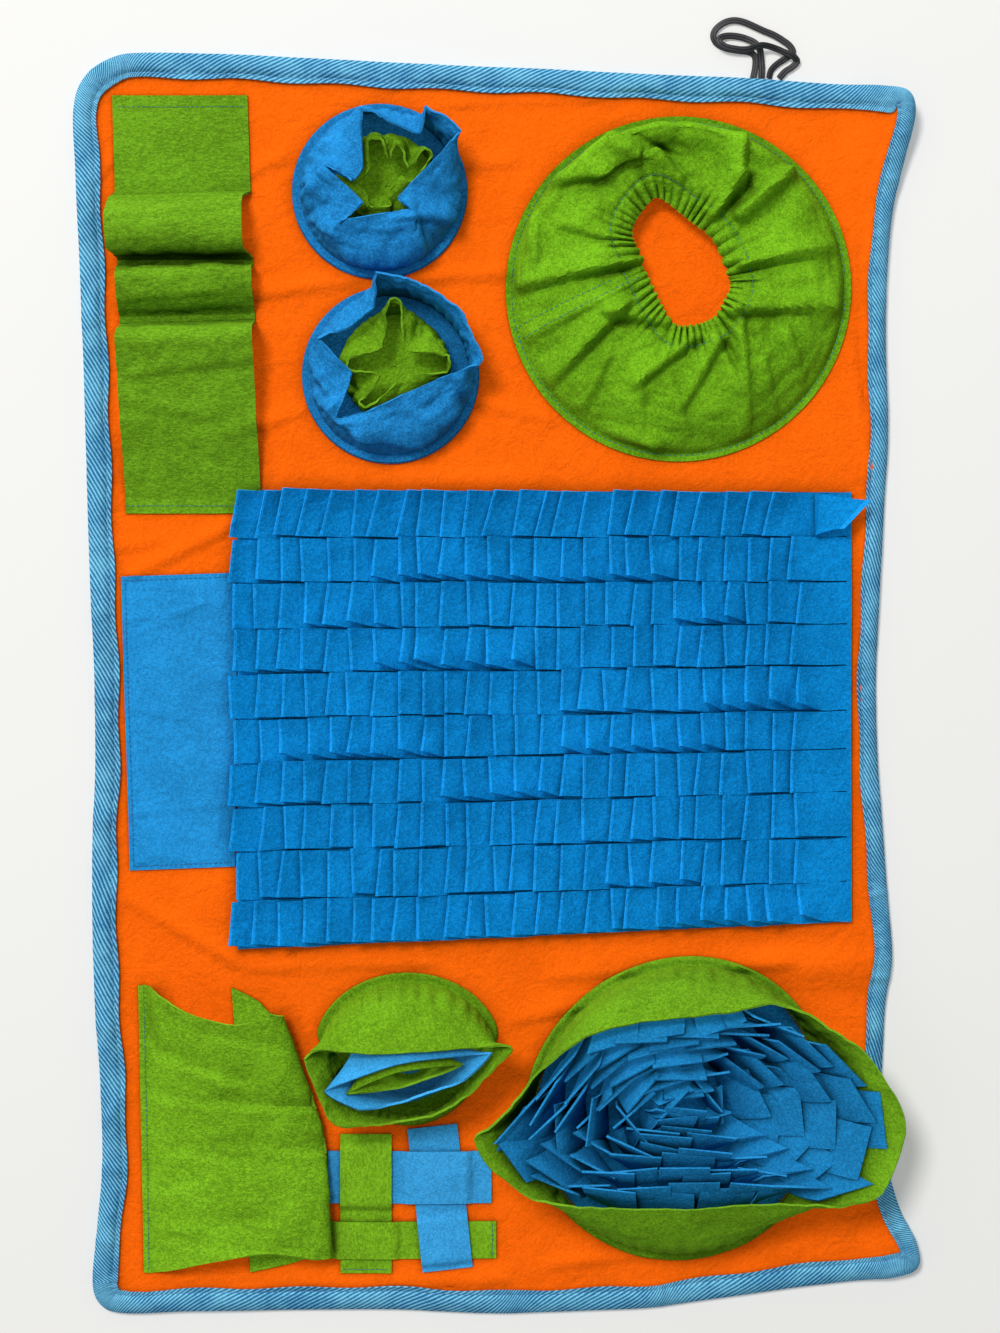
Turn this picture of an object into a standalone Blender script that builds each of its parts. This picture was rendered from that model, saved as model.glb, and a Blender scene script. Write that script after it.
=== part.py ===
"""Snuffle mat for a dog, sewn from craft felt: a felt ground bound with bias tape, a shingled fringe
panel, three standing loops, two flower cups, a gathered ring, a flap tunnel, a nest of three tubes,
four woven straps, a petal pouch and an elastic hanging loop.

Metres, +Z up. The mat lies flat on Z = 0 with its face up, its long side along Y, and its origin
under the middle of its outline. Every felt piece is a sheet about a middle surface.
"""

import math

import bmesh
import bpy

# Cloth
FELT = 0.0012
GROUND_FELT = 0.0020
TAPE = 0.0008
GAP = 0.0003

# Heights of middle surfaces
GROUND_LEVEL = GROUND_FELT / 2
TAPE_LOW = TAPE / 2 + 0.00005
GROUND_RIM_LEVEL = TAPE_LOW + TAPE / 2 + GAP + GROUND_FELT / 2
TAPE_HIGH = GROUND_RIM_LEVEL + GROUND_FELT / 2 + GAP + TAPE / 2
LAID = GROUND_FELT + GAP + FELT / 2
SECOND_LAYER = LAID + FELT + 0.0005

# Outer edge of the bound mat, anticlockwise from the lower left corner: x, y
MAT_EDGE = (
    (-0.2155, -0.3165), (-0.2110, -0.3290), (-0.1985, -0.3332),
    (-0.1640, -0.3322), (-0.1110, -0.3316), (-0.0580, -0.3313), (-0.0053, -0.3334), (0.0212, -0.3328),
    (0.0742, -0.3307), (0.1007, -0.3275), (0.1537, -0.3201), (0.1900, -0.3158),
    (0.2080, -0.3140), (0.2205, -0.3085), (0.2200, -0.2955),
    (0.2115, -0.2780), (0.2045, -0.2520), (0.2018, -0.2265), (0.2035, -0.1733), (0.2072, -0.1468),
    (0.2056, -0.1203), (0.2035, -0.0938), (0.1998, -0.0408), (0.1988, -0.0010), (0.2003, 0.0387),
    (0.2030, 0.0917), (0.2051, 0.1315), (0.2038, 0.1845), (0.2051, 0.2242), (0.2078, 0.2507),
    (0.2136, 0.2772),
    (0.2182, 0.2990), (0.2150, 0.3105), (0.2035, 0.3142),
    (0.1802, 0.3164), (0.1272, 0.3201), (0.0742, 0.3222), (0.0212, 0.3249), (-0.0318, 0.3270),
    (-0.0848, 0.3297), (-0.1378, 0.3323), (-0.1850, 0.3334),
    (-0.2050, 0.3310), (-0.2200, 0.3205), (-0.2256, 0.3030),
    (-0.2245, 0.2700), (-0.2226, 0.2242), (-0.2205, 0.1712), (-0.2189, 0.1182), (-0.2172, 0.0650),
    (-0.2147, 0.0122), (-0.2141, -0.0408), (-0.2157, -0.0938), (-0.2147, -0.1600), (-0.2115, -0.2100),
    (-0.2104, -0.2528), (-0.2130, -0.2880),
)
TAPE_WIDTH = {"right": 0.0105, "top": 0.0135, "left": 0.0130, "bottom": 0.0120}
GROUND_INSET = 0.0022

# Fringe panel: rows of tabs between cuts, y at the panel's left side and at its right side
FRINGE_CUTS = (
    (0.1020, 0.1007), (0.0763, 0.0774), (0.0530, 0.0535), (0.0281, 0.0313), (0.0048, 0.0095),
    (-0.0186, -0.0143), (-0.0419, -0.0345), (-0.0652, -0.0572), (-0.0885, -0.0811),
    (-0.1145, -0.1044), (-0.1400, -0.1260),
)
FRINGE_LEFT = -0.1240
FRINGE_RIGHT = 0.1855
STRIP_COUNT = 25
FIRST_ROOT = -0.1115
LAST_ROOT = 0.1828
ROOT_BAND = 0.0025
TAB_LENGTH = 0.0285
TAB_SLIT = 0.0006
TAB_SLOPE = 0.13

# Patch on the left, corners from the lower left anticlockwise: x, y
PATCH_CORNERS = ((-0.1956, -0.0991), (-0.1399, -0.0970), (-0.1389, 0.0583), (-0.2003, 0.0562))

# Strip with three standing loops: height of its middle surface along y, and its centre line
LOOP_PROFILE = (
    (0.3106, LAID), (0.2660, LAID), (0.2560, 0.0090), (0.2450, 0.0175), (0.2350, 0.0222),
    (0.2285, 0.0200), (0.2275, 0.0120), (0.2268, 0.0055), (0.2235, LAID), (0.2210, LAID),
    (0.2190, 0.0100), (0.2145, 0.0142), (0.2080, 0.0125), (0.2000, 0.0065), (0.1945, LAID),
    (0.1915, LAID), (0.1885, 0.0100), (0.1860, 0.0180), (0.1805, 0.0222), (0.1710, 0.0218),
    (0.1500, 0.0170), (0.1280, 0.0110), (0.1080, 0.0055), (0.0975, LAID), (0.0896, LAID),
)
LOOP_STRIP_WIDTH = 0.0716
LOOP_STRIP_TOP_X = -0.1693
LOOP_STRIP_BOTTOM_X = -0.1619

# Tubes sewn to the ground. Rim: degrees round the base, then x, y, z of the mouth's edge there
UPPER_CUP_CENTRE = (-0.0636, 0.2597)
UPPER_CUP_RADIUS = 0.0456
UPPER_CUP_RIM = (
    (25, -0.0199, 0.2859, 0.033), (55, -0.0386, 0.2987, 0.035), (70, -0.0418, 0.2850, 0.033),
    (82, -0.0500, 0.2880, 0.033), (104, -0.0720, 0.2975, 0.034), (148, -0.0712, 0.2680, 0.030),
    (165, -0.0755, 0.2615, 0.028), (180, -0.0910, 0.2690, 0.028), (208, -0.0705, 0.2490, 0.030),
    (228, -0.0835, 0.2405, 0.029), (295, -0.0450, 0.2460, 0.031), (314, -0.0530, 0.2520, 0.030),
)
UPPER_INSERT_CENTRE = (-0.0600, 0.2620)
UPPER_INSERT_RIM = (
    (15, -0.0355, 0.2740, 0.026), (40, -0.0395, 0.2790, 0.027), (55, -0.0480, 0.2680, 0.024),
    (68, -0.0495, 0.2770, 0.027), (80, -0.0540, 0.2800, 0.028), (92, -0.0575, 0.2725, 0.025),
    (105, -0.0605, 0.2825, 0.028), (130, -0.0690, 0.2815, 0.028), (155, -0.0675, 0.2675, 0.025),
    (178, -0.0755, 0.2600, 0.024), (200, -0.0695, 0.2540, 0.024), (225, -0.0670, 0.2480, 0.024),
    (262, -0.0565, 0.2490, 0.024), (276, -0.0590, 0.2540, 0.024), (292, -0.0515, 0.2640, 0.026),
    (312, -0.0460, 0.2605, 0.026),
)
LOWER_CUP_CENTRE = (-0.0578, 0.1627)
LOWER_CUP_RADIUS = 0.0461
LOWER_CUP_RIM = (
    (6, -0.0090, 0.1675, 0.032), (34, -0.0186, 0.1913, 0.033), (58, -0.0315, 0.2022, 0.034),
    (78, -0.0469, 0.2099, 0.035), (98, -0.0643, 0.2125, 0.037), (122, -0.0649, 0.1945, 0.032),
    (142, -0.0765, 0.1860, 0.030), (165, -0.0952, 0.1797, 0.028), (186, -0.0772, 0.1610, 0.027),
    (218, -0.0849, 0.1380, 0.026), (238, -0.0700, 0.1405, 0.026), (268, -0.0508, 0.1498, 0.028),
    (318, -0.0289, 0.1591, 0.030),
)
LOWER_INSERT_CENTRE = (-0.0555, 0.1670)
LOWER_INSERT_RIM = (
    (8, -0.0265, 0.1705, 0.026), (45, -0.0495, 0.1745, 0.022), (76, -0.0505, 0.1975, 0.028),
    (88, -0.0545, 0.2005, 0.029), (100, -0.0585, 0.1980, 0.028), (132, -0.0615, 0.1750, 0.022),
    (170, -0.0790, 0.1695, 0.025), (184, -0.0790, 0.1640, 0.025), (212, -0.0625, 0.1605, 0.021),
    (228, -0.0735, 0.1470, 0.024), (240, -0.0705, 0.1430, 0.025), (254, -0.0640, 0.1465, 0.024),
    (310, -0.0495, 0.1605, 0.021), (352, -0.0270, 0.1615, 0.025),
)
INSERT_RADIUS = 0.0270
NEST_CENTRE = (-0.0488, -0.1935)
NEST_OUTER_RADIUS = 0.0395
NEST_OUTER_RIM = (
    (2, 0.0060, -0.1890, 0.038), (25, -0.0054, -0.1866, 0.040), (80, -0.0381, -0.1895, 0.042),
    (120, -0.0671, -0.1905, 0.042), (160, -0.0921, -0.1889, 0.040), (180, -0.1014, -0.1935, 0.038),
    (215, -0.0890, -0.2246, 0.036), (228, -0.0813, -0.2295, 0.036), (262, -0.0530, -0.2262, 0.036),
    (285, -0.0347, -0.2236, 0.037), (318, -0.0163, -0.2128, 0.038),
)
NEST_MIDDLE_RADIUS = 0.0280
NEST_MIDDLE_RIM = (
    (2, -0.0040, -0.1905, 0.038), (40, -0.0271, -0.1925, 0.039), (95, -0.0542, -0.1965, 0.040),
    (175, -0.0905, -0.2105, 0.037), (225, -0.0726, -0.2205, 0.035), (262, -0.0509, -0.2165, 0.035),
    (290, -0.0379, -0.2115, 0.036), (325, -0.0184, -0.2050, 0.037),
)
NEST_INNER_RADIUS = 0.0190
NEST_INNER_RIM = (
    (2, -0.0190, -0.1965, 0.036), (85, -0.0540, -0.2010, 0.037), (175, -0.0795, -0.2125, 0.035),
    (262, -0.0520, -0.2090, 0.034), (310, -0.0330, -0.2025, 0.035),
)
POUCH_CENTRE = (0.0928, -0.2247)
POUCH_RADIUS = 0.0795
POUCH_RIM = (
    (-4, 0.2078, -0.2311, 0.045), (12, 0.2031, -0.2122, 0.045), (32, 0.1828, -0.1856, 0.047),
    (56, 0.1450, -0.1640, 0.050), (75, 0.1139, -0.1685, 0.050), (105, 0.0669, -0.1739, 0.050),
    (122, 0.0419, -0.1810, 0.050), (145, 0.0202, -0.1982, 0.048), (165, 0.0000, -0.2232, 0.044),
    (182, -0.0134, -0.2341, 0.040), (195, -0.0048, -0.2497, 0.042), (215, 0.0186, -0.2646, 0.046),
    (235, 0.0421, -0.2683, 0.048), (268, 0.0889, -0.2693, 0.048), (300, 0.1358, -0.2668, 0.046),
    (325, 0.1750, -0.2683, 0.044), (342, 0.1965, -0.2620, 0.043),
)
SEAM_ALLOWANCE = 0.0040
INSERT_ALLOWANCE = 0.0030
COLUMN_STEP = 0.0110

# Wall of a tube: radial reach outside the seam, share of the way to the rim, share of its height
WALL_PROFILE = ((1, 0, 0), (0, 0, 0), (0, 0.10, 0.36), (0, 0.42, 0.76), (0, 1, 1))

# Gathered ring: its hole is its rim, and the dome stands above the hole's edge
RING_CENTRE = (0.0943, 0.2083)
RING_RADIUS = 0.0912
RING_HOLE = (
    (345, 0.1199, 0.2063, 0.016), (375, 0.1186, 0.2145, 0.016), (400, 0.1110, 0.2323, 0.016),
    (430, 0.0974, 0.2432, 0.016), (465, 0.0823, 0.2542, 0.016), (500, 0.0714, 0.2418, 0.016),
    (520, 0.0700, 0.2323, 0.016), (555, 0.0768, 0.2172, 0.015), (600, 0.0878, 0.1940, 0.014),
    (622, 0.0946, 0.1878, 0.014), (645, 0.1042, 0.1892, 0.014), (670, 0.1138, 0.1940, 0.015),
)
RING_PROFILE = ((1, 0, 0), (0, 0, 0), (0, 0.14, 0.75), (0, 0.45, 1.40), (0, 0.78, 1.35), (0, 1, 1))

# Flap tunnel, from its upper end to its lower end: sewn edge, crest, fold and return of its section
FLAP_SECTIONS = (
    # left x, left y, crest y, fold x, fold y, return x, return y, crest z
    (-0.1913, -0.1600, -0.1780, -0.1145, -0.1750, -0.1420, -0.1610, 0.014),
    (-0.1905, -0.1980, -0.2060, -0.1034, -0.2060, -0.1390, -0.2000, 0.017),
    (-0.1898, -0.2360, -0.2380, -0.0933, -0.2390, -0.1370, -0.2380, 0.018),
    (-0.1890, -0.2740, -0.2710, -0.0906, -0.2680, -0.1340, -0.2750, 0.017),
    (-0.1882, -0.3116, -0.3020, -0.0890, -0.3010, -0.1320, -0.3116, 0.014),
)
FLAP_SEAM = 0.0050
FLAP_ROLL = 0.0065

# Woven straps: their runs, with the stretch of each that passes over the strap it crosses
STRAPS = {
    # name: start x, start y, end x, end y, width, first and last share of the run that is raised
    "strap_upright_left": (-0.0708, -0.2385, -0.0708, -0.3120, 0.0271, 0.07, 0.545),
    "strap_upright_right": (-0.0358, -0.2345, -0.0276, -0.3100, 0.0265, 0.61, 0.975),
    "strap_cross_upper": (-0.0910, -0.2612, -0.0045, -0.2612, 0.0275, 0.45, 0.89),
    "strap_cross_lower": (-0.0905, -0.2944, -0.0020, -0.2944, 0.0196, 0.02, 0.43),
}
STRAP_EASE = 0.04

# Petal rings in the pouch: root radius, share of the mouth at their tips, tip height, petals
MOUTH_CENTRE = (0.0970, -0.2190)
PETAL_RINGS = (
    (0.0630, 0.80, 0.038, 15),
    (0.0515, 0.66, 0.036, 13),
    (0.0400, 0.52, 0.033, 10),
    (0.0280, 0.35, 0.028, 7),
    (0.0170, 0.19, 0.024, 5),
)
PETAL_BAND = 0.16
PETAL_SLIT_SHARE = 0.06

# Elastic hanging loop: two cords of a flat elastic, each as a tube of the same section area.
# A level counts the cords beneath.
CORD_RADIUS = 0.0012
CORD_FLOOR = CORD_RADIUS + 0.0001
CORD_STACK = 2 * CORD_RADIUS + GAP
OUTER_CORD = (
    # x, y, level
    (0.1340, 0.3202, 0), (0.1350, 0.3250, 0), (0.1353, 0.3295, 0), (0.1344, 0.3325, 0),
    (0.1318, 0.3340, 0), (0.1280, 0.3345, 0), (0.1237, 0.3351, 0), (0.1190, 0.3362, 0),
    (0.1151, 0.3384, 0), (0.1131, 0.3414, 0), (0.1134, 0.3446, 0), (0.1158, 0.3476, 0),
    (0.1198, 0.3500, 0), (0.1244, 0.3508, 0), (0.1293, 0.3498, 0), (0.1341, 0.3478, 0),
    (0.1393, 0.3454, 0), (0.1448, 0.3431, 0), (0.1497, 0.3402, 0), (0.1535, 0.3372, 0),
    (0.1550, 0.3338, 0), (0.1518, 0.3310, 0), (0.1472, 0.3280, 0), (0.1436, 0.3244, 0),
    (0.1424, 0.3199, 0),
)
INNER_CORD = (
    # x, y, level
    (0.1384, 0.3200, 0), (0.1386, 0.3245, 0), (0.1384, 0.3285, 0), (0.1380, 0.3320, 0.3),
    (0.1371, 0.3354, 1), (0.1345, 0.3387, 0.6), (0.1302, 0.3411, 0), (0.1250, 0.3424, 0),
    (0.1200, 0.3425, 0.1), (0.1166, 0.3412, 0.5), (0.1160, 0.3385, 1), (0.1192, 0.3362, 1),
    (0.1237, 0.3352, 1), (0.1280, 0.3347, 1), (0.1318, 0.3349, 1.3), (0.1352, 0.3358, 2),
    (0.1385, 0.3364, 2), (0.1426, 0.3362, 1.2), (0.1468, 0.3350, 0.8), (0.1505, 0.3332, 1),
    (0.1545, 0.3315, 1), (0.1572, 0.3290, 0.2), (0.1548, 0.3262, 0), (0.1508, 0.3235, 0),
    (0.1478, 0.3200, 0),
)
CORD_STEPS = 2

# Colours as linear RGB, and the roughness of felt, tape and elastic
COLOURS = {
    "orange_felt": ((0.90, 0.13, 0.007), 0.95),
    "green_felt": ((0.16, 0.36, 0.018), 0.95),
    "blue_felt": ((0.03, 0.25, 0.57), 0.95),
    "blue_tape": ((0.12, 0.38, 0.55), 0.85),
    "black_elastic": ((0.012, 0.012, 0.014), 0.60),
}

REGISTER = {}


def felt_of(colour):
    """The material of this name, made the first time that it is asked for."""
    if colour not in REGISTER:
        rgb, roughness = COLOURS[colour]
        material = bpy.data.materials.new(colour)
        material.use_nodes = True
        shader = material.node_tree.nodes["Principled BSDF"]
        shader.inputs["Base Color"].default_value = (*rgb, 1)
        shader.inputs["Roughness"].default_value = roughness
        shader.inputs["Metallic"].default_value = 0
        REGISTER[colour] = material
    return REGISTER[colour]


def clear_scene():
    for obj in list(bpy.data.objects):
        bpy.data.objects.remove(obj)


def mix(a, b, share):
    return a + (b - a) * share


def catmull(before, start, end, after, share):
    """One coordinate of a Catmull-Rom curve between start and end."""
    rise = (end - before) / 2
    fall = (after - start) / 2
    curve = start - end
    return (
        start
        + rise * share
        + (-3 * curve - 2 * rise - fall) * share**2
        + (2 * curve + rise + fall) * share**3
    )


def closed_point(rows, place):
    """The point at a fractional row of a closed table, on a smooth curve through its rows."""
    count = len(rows)
    first = math.floor(place)
    four = [rows[(first + step) % count] for step in (-1, 0, 1, 2)]
    return tuple(catmull(*values, place - first) for values in zip(*four))


def open_point(rows, place):
    """The same on an open table, whose end rows are repeated."""
    last = len(rows) - 1
    first = min(math.floor(place), last - 1)
    four = [rows[min(max(first + step, 0), last)] for step in (-1, 0, 1, 2)]
    return tuple(catmull(*values, place - first) for values in zip(*four))


def steps(count):
    return [step / count for step in range(count + 1)]


def sheet(name, colour, columns, rows, place, thickness=FELT, welded=False, keep=None, filled=False):
    """A sheet about the surface place(column, row), over two lists of parameters.

    welded joins the last column to the first, keep(column index, row index) says which faces stay,
    and filled closes the hole inside the last row.
    """
    mesh = bmesh.new()
    bmesh.ops.create_grid(mesh, x_segments=len(columns) - 1, y_segments=len(rows) - 1, size=0.5)
    across, along = len(columns) - 1, len(rows) - 1
    if keep is not None:
        centres = {face: face.calc_center_median() for face in mesh.faces}
        dropped = [
            face
            for face, centre in centres.items()
            if not keep(int((centre.x + 0.5) * across), int((centre.y + 0.5) * along))
        ]
        bmesh.ops.delete(mesh, geom=dropped, context="FACES")
    row_of = mesh.verts.layers.int.new("row")
    for vertex in mesh.verts:
        column = round((vertex.co.x + 0.5) * across)
        vertex[row_of] = round((vertex.co.y + 0.5) * along)
        vertex.co = place(columns[column], rows[vertex[row_of]])
    if welded:
        bmesh.ops.remove_doubles(mesh, verts=mesh.verts, dist=1e-6)
    if filled:
        inner = [
            edge
            for edge in mesh.edges
            if edge.is_boundary and all(vertex[row_of] == along for vertex in edge.verts)
        ]
        bmesh.ops.edgeloop_fill(mesh, edges=inner)
    mesh.verts.layers.int.remove(row_of)
    bmesh.ops.recalc_face_normals(mesh, faces=mesh.faces)
    data = bpy.data.meshes.new(name)
    mesh.to_mesh(data)
    mesh.free()
    data.materials.append(felt_of(colour))
    piece = bpy.data.objects.new(name, data)
    PARTS.objects.link(piece)
    solid = piece.modifiers.new("Thickness", "SOLIDIFY")
    solid.thickness = thickness
    solid.offset = 0
    return piece


# --- ground and binding -------------------------------------------------------------------------


def edge_point(place, inset, height):
    """A point that far inside the mat's outer edge, at a fractional row of its table."""
    x, y = closed_point(MAT_EDGE, place)
    ahead = closed_point(MAT_EDGE, place + 0.5)
    behind = closed_point(MAT_EDGE, place - 0.5)
    run = math.dist(ahead, behind)
    inward = (-(ahead[1] - behind[1]) / run, (ahead[0] - behind[0]) / run)
    return (x + inward[0] * inset, y + inward[1] * inset, height)


def tape_width(place):
    """The width of the binding on the face, which differs from side to side of the mat."""
    x, y, _ = edge_point(place, 1, 0)
    at_x, at_y = closed_point(MAT_EDGE, place)
    inward_x, inward_y = x - at_x, y - at_y
    sides = (
        (TAPE_WIDTH["right"], max(-inward_x, 0)),
        (TAPE_WIDTH["left"], max(inward_x, 0)),
        (TAPE_WIDTH["top"], max(-inward_y, 0)),
        (TAPE_WIDTH["bottom"], max(inward_y, 0)),
    )
    return sum(width * share**2 for width, share in sides)


def make_ground():
    """Felt that lies on the floor, with its rim lifted by the binding's lower fold."""
    rings = ((-1, GROUND_RIM_LEVEL), (-0.0005, GROUND_RIM_LEVEL), (0.0020, GROUND_LEVEL))

    def place(row, ring):
        beyond, height = rings[ring]
        inset = GROUND_INSET if beyond == -1 else tape_width(row) + beyond
        return edge_point(row, inset, height)

    sheet(
        "ground", "orange_felt", range(len(MAT_EDGE) + 1), range(len(rings)), place,
        thickness=GROUND_FELT, welded=True, filled=True,
    )


def make_binding():
    """Bias tape folded over the edge: its face, the fold, and its underside."""
    half = TAPE / 2
    middle = (TAPE_LOW + TAPE_HIGH) / 2

    def place(row, step):
        width = tape_width(row)
        section = (
            (width, TAPE_HIGH),
            (3 * half, TAPE_HIGH),
            (half, middle),
            (3 * half, TAPE_LOW),
            (width - 0.0010, TAPE_LOW),
        )
        return edge_point(row, *section[step])

    sheet(
        "binding", "blue_tape", range(len(MAT_EDGE) + 1), range(5), place,
        thickness=TAPE, welded=True,
    )


# --- fringe panel and patch ---------------------------------------------------------------------


def fringe_y(cut, x):
    left, right = FRINGE_CUTS[cut]
    return mix(left, right, (x - FRINGE_LEFT) / (FRINGE_RIGHT - FRINGE_LEFT))


def make_fringe():
    """A panel of upright strips, each cut into ten tabs that lie to the left over the next strip."""
    last_cut = len(FRINGE_CUTS) - 1

    def base_place(x, cut):
        return (x, fringe_y(cut, x), LAID)

    sheet("fringe_base", "blue_felt", (FRINGE_LEFT, FRINGE_RIGHT), (0, last_cut), base_place)

    pitch = (LAST_ROOT - FIRST_ROOT) / (STRIP_COUNT - 1)
    root_level = LAID + FELT + GAP
    for number in range(STRIP_COUNT):
        root = FIRST_ROOT + pitch * number + 0.0004 * math.sin(2.1 * number)
        band_end = root + ROOT_BAND

        def place(column, row, root=root, band_end=band_end, number=number):
            cut, below = divmod(row, 2)
            length = TAB_LENGTH + 0.0010 * math.sin(1.7 * number + 2.3 * (row // 2))
            x = (root - length, root, band_end)[column]
            slit = 0 if row in (0, 2 * last_cut - 1) else TAB_SLIT / 2
            y = fringe_y(cut + below, x) + (slit if below else -slit)
            return (x, y, root_level + TAB_SLOPE * (band_end - x))

        sheet(
            f"fringe_strip_{number + 1:02d}", "blue_felt", range(3), range(2 * last_cut), place,
            keep=lambda column, row: column == 1 or row % 2 == 0,
        )


def make_patch():
    lower_left, lower_right, upper_right, upper_left = PATCH_CORNERS

    def place(across, up):
        x = mix(mix(lower_left[0], lower_right[0], across), mix(upper_left[0], upper_right[0], across), up)
        y = mix(mix(lower_left[1], lower_right[1], across), mix(upper_left[1], upper_right[1], across), up)
        return (x, y, LAID)

    sheet("label_patch", "blue_felt", (0, 1), (0, 1), place)


# --- loops, flap and straps ---------------------------------------------------------------------


def make_loop_strip():
    top, bottom = LOOP_PROFILE[0][0], LOOP_PROFILE[-1][0]

    def place(across, row):
        y, z = LOOP_PROFILE[row]
        centre = mix(LOOP_STRIP_TOP_X, LOOP_STRIP_BOTTOM_X, (top - y) / (top - bottom))
        return (centre + across * LOOP_STRIP_WIDTH, y, z)

    sheet("loop_strip", "green_felt", (-0.5, 0, 0.5), range(len(LOOP_PROFILE)), place)


def flap_section(place):
    """The section of the flap tunnel at a fractional row of its table, from seam to seam."""
    row = open_point(FLAP_SECTIONS, place)
    left_x, left_y, crest_y, fold_x, fold_y, return_x, return_y, crest_z = row
    side_y = mix(left_y, crest_y, 0.5)
    width = fold_x - left_x
    return (
        (left_x, left_y, LAID),
        (left_x + FLAP_SEAM, left_y, LAID),
        (left_x + 0.18 * width, side_y, 0.62 * crest_z),
        (left_x + 0.40 * width, crest_y, crest_z),
        (left_x + 0.68 * width, crest_y, crest_z),
        (fold_x - FLAP_ROLL, fold_y, 0.86 * crest_z),
        (fold_x, fold_y, 0.55 * crest_z),
        (fold_x - FLAP_ROLL, fold_y, LAID + 0.0004),
        (mix(fold_x, return_x, 0.5), mix(fold_y, return_y, 0.5), LAID),
        (return_x, return_y, LAID),
    )


def make_flap_tunnel():
    def place(along, step):
        return flap_section(along)[step]

    along = [share * (len(FLAP_SECTIONS) - 1) for share in steps(6)]
    sheet("flap_tunnel", "green_felt", along, range(10), place)


def make_straps():
    """Four straps in plain weave: each is over one of the two straps that it crosses."""
    for name, (x0, y0, x1, y1, width, first, last) in STRAPS.items():
        colour = "green_felt" if name in ("strap_upright_left", "strap_cross_lower") else "blue_felt"
        length = math.dist((x0, y0), (x1, y1))
        side = (-(y1 - y0) / length * width, (x1 - x0) / length * width)
        stations = (0, first, first + STRAP_EASE, last - STRAP_EASE, last, 1)

        def place(across, station, ends=(x0, y0, x1, y1), side=side, stations=stations):
            share = stations[station]
            x = mix(ends[0], ends[2], share) + across * side[0]
            y = mix(ends[1], ends[3], share) + across * side[1]
            return (x, y, SECOND_LAYER if station in (2, 3) else LAID)

        sheet(name, colour, (-0.5, 0.5), range(len(stations)), place)


# --- tubes ----------------------------------------------------------------------------------------


def rim_point(rim, turn):
    """The point of a rim's table at a number of degrees round the base."""
    turn = rim[0][0] + (turn - rim[0][0]) % 360
    ends = [row[0] for row in rim] + [rim[0][0] + 360]
    first = max(index for index in range(len(rim)) if ends[index] <= turn)
    share = (turn - ends[first]) / (ends[first + 1] - ends[first])
    return closed_point([row[1:] for row in rim], first + share)


def rim_turns(rim, step=COLUMN_STEP):
    """Degrees round the base at which a wall has its columns: each fold, and steps between them."""
    turns = []
    for row, following in zip(rim, rim[1:] + rim[:1]):
        span = (following[0] - row[0]) % 360
        pieces = max(1, round(math.dist(row[1:3], following[1:3]) / step))
        turns += [row[0] + span * piece / pieces for piece in range(pieces)]
    return turns + [rim[0][0] + 360]


def tube_place(centre, radius, allowance, rim, profile):
    """The surface of a tube from the edge of its seam allowance to its rim."""

    def place(turn, step):
        out, along, height = profile[step]
        reach = radius - allowance * (1 - out)
        angle = math.radians(turn)
        foot_x = centre[0] + reach * math.cos(angle)
        foot_y = centre[1] + reach * math.sin(angle)
        x, y, z = rim_point(rim, turn)
        return (mix(foot_x, x, along), mix(foot_y, y, along), mix(LAID, z, height))

    return place


def make_tube(name, colour, centre, radius, rim, allowance=SEAM_ALLOWANCE, profile=WALL_PROFILE):
    sheet(
        name, colour, rim_turns(rim), range(len(profile)),
        tube_place(centre, radius, allowance, rim, profile), welded=True,
    )


def make_tubes():
    make_tube("cup_upper", "blue_felt", UPPER_CUP_CENTRE, UPPER_CUP_RADIUS, UPPER_CUP_RIM)
    make_tube("cup_lower", "blue_felt", LOWER_CUP_CENTRE, LOWER_CUP_RADIUS, LOWER_CUP_RIM)
    make_tube("nest_outer", "green_felt", NEST_CENTRE, NEST_OUTER_RADIUS, NEST_OUTER_RIM)
    make_tube("pouch_wall", "green_felt", POUCH_CENTRE, POUCH_RADIUS, POUCH_RIM)
    make_tube(
        "gathered_ring", "green_felt", RING_CENTRE, RING_RADIUS, RING_HOLE, profile=RING_PROFILE
    )
    inner_tubes = (
        ("cup_upper_insert", "green_felt", UPPER_INSERT_CENTRE, INSERT_RADIUS, UPPER_INSERT_RIM),
        ("cup_lower_insert", "green_felt", LOWER_INSERT_CENTRE, INSERT_RADIUS, LOWER_INSERT_RIM),
        ("nest_middle", "blue_felt", NEST_CENTRE, NEST_MIDDLE_RADIUS, NEST_MIDDLE_RIM),
        ("nest_inner", "green_felt", NEST_CENTRE, NEST_INNER_RADIUS, NEST_INNER_RIM),
    )
    for name, colour, centre, radius, rim in inner_tubes:
        make_tube(name, colour, centre, radius, rim, allowance=INSERT_ALLOWANCE)


def make_petal_rings():
    """Rings of petals inside the pouch: each a low band with petals that lean with the mouth."""
    for number, (root_radius, mouth_share, tip_height, count) in enumerate(PETAL_RINGS):
        slit = 360 / count * PETAL_SLIT_SHARE
        turns = []
        for petal in range(count):
            start = 360 / count * (petal + 0.5 * (number % 2))
            turns += [start + slit, start + 360 / count]
        turns.append(turns[0] + 360)

        def place(turn, share, ring=(root_radius, mouth_share, tip_height)):
            radius, mouth, height = ring
            angle = math.radians(turn)
            foot_x = POUCH_CENTRE[0] + radius * math.cos(angle)
            foot_y = POUCH_CENTRE[1] + radius * math.sin(angle)
            rim_x, rim_y, _ = rim_point(POUCH_RIM, turn)
            tip_x = mix(MOUTH_CENTRE[0], rim_x, mouth)
            tip_y = mix(MOUTH_CENTRE[1], rim_y, mouth)
            return (mix(foot_x, tip_x, share), mix(foot_y, tip_y, share), mix(LAID, height, share))

        sheet(
            f"petal_ring_{number + 1}", "blue_felt", turns, (0, PETAL_BAND, 1), place, welded=True,
            keep=lambda column, row: row == 0 or column % 2 == 0,
        )


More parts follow.
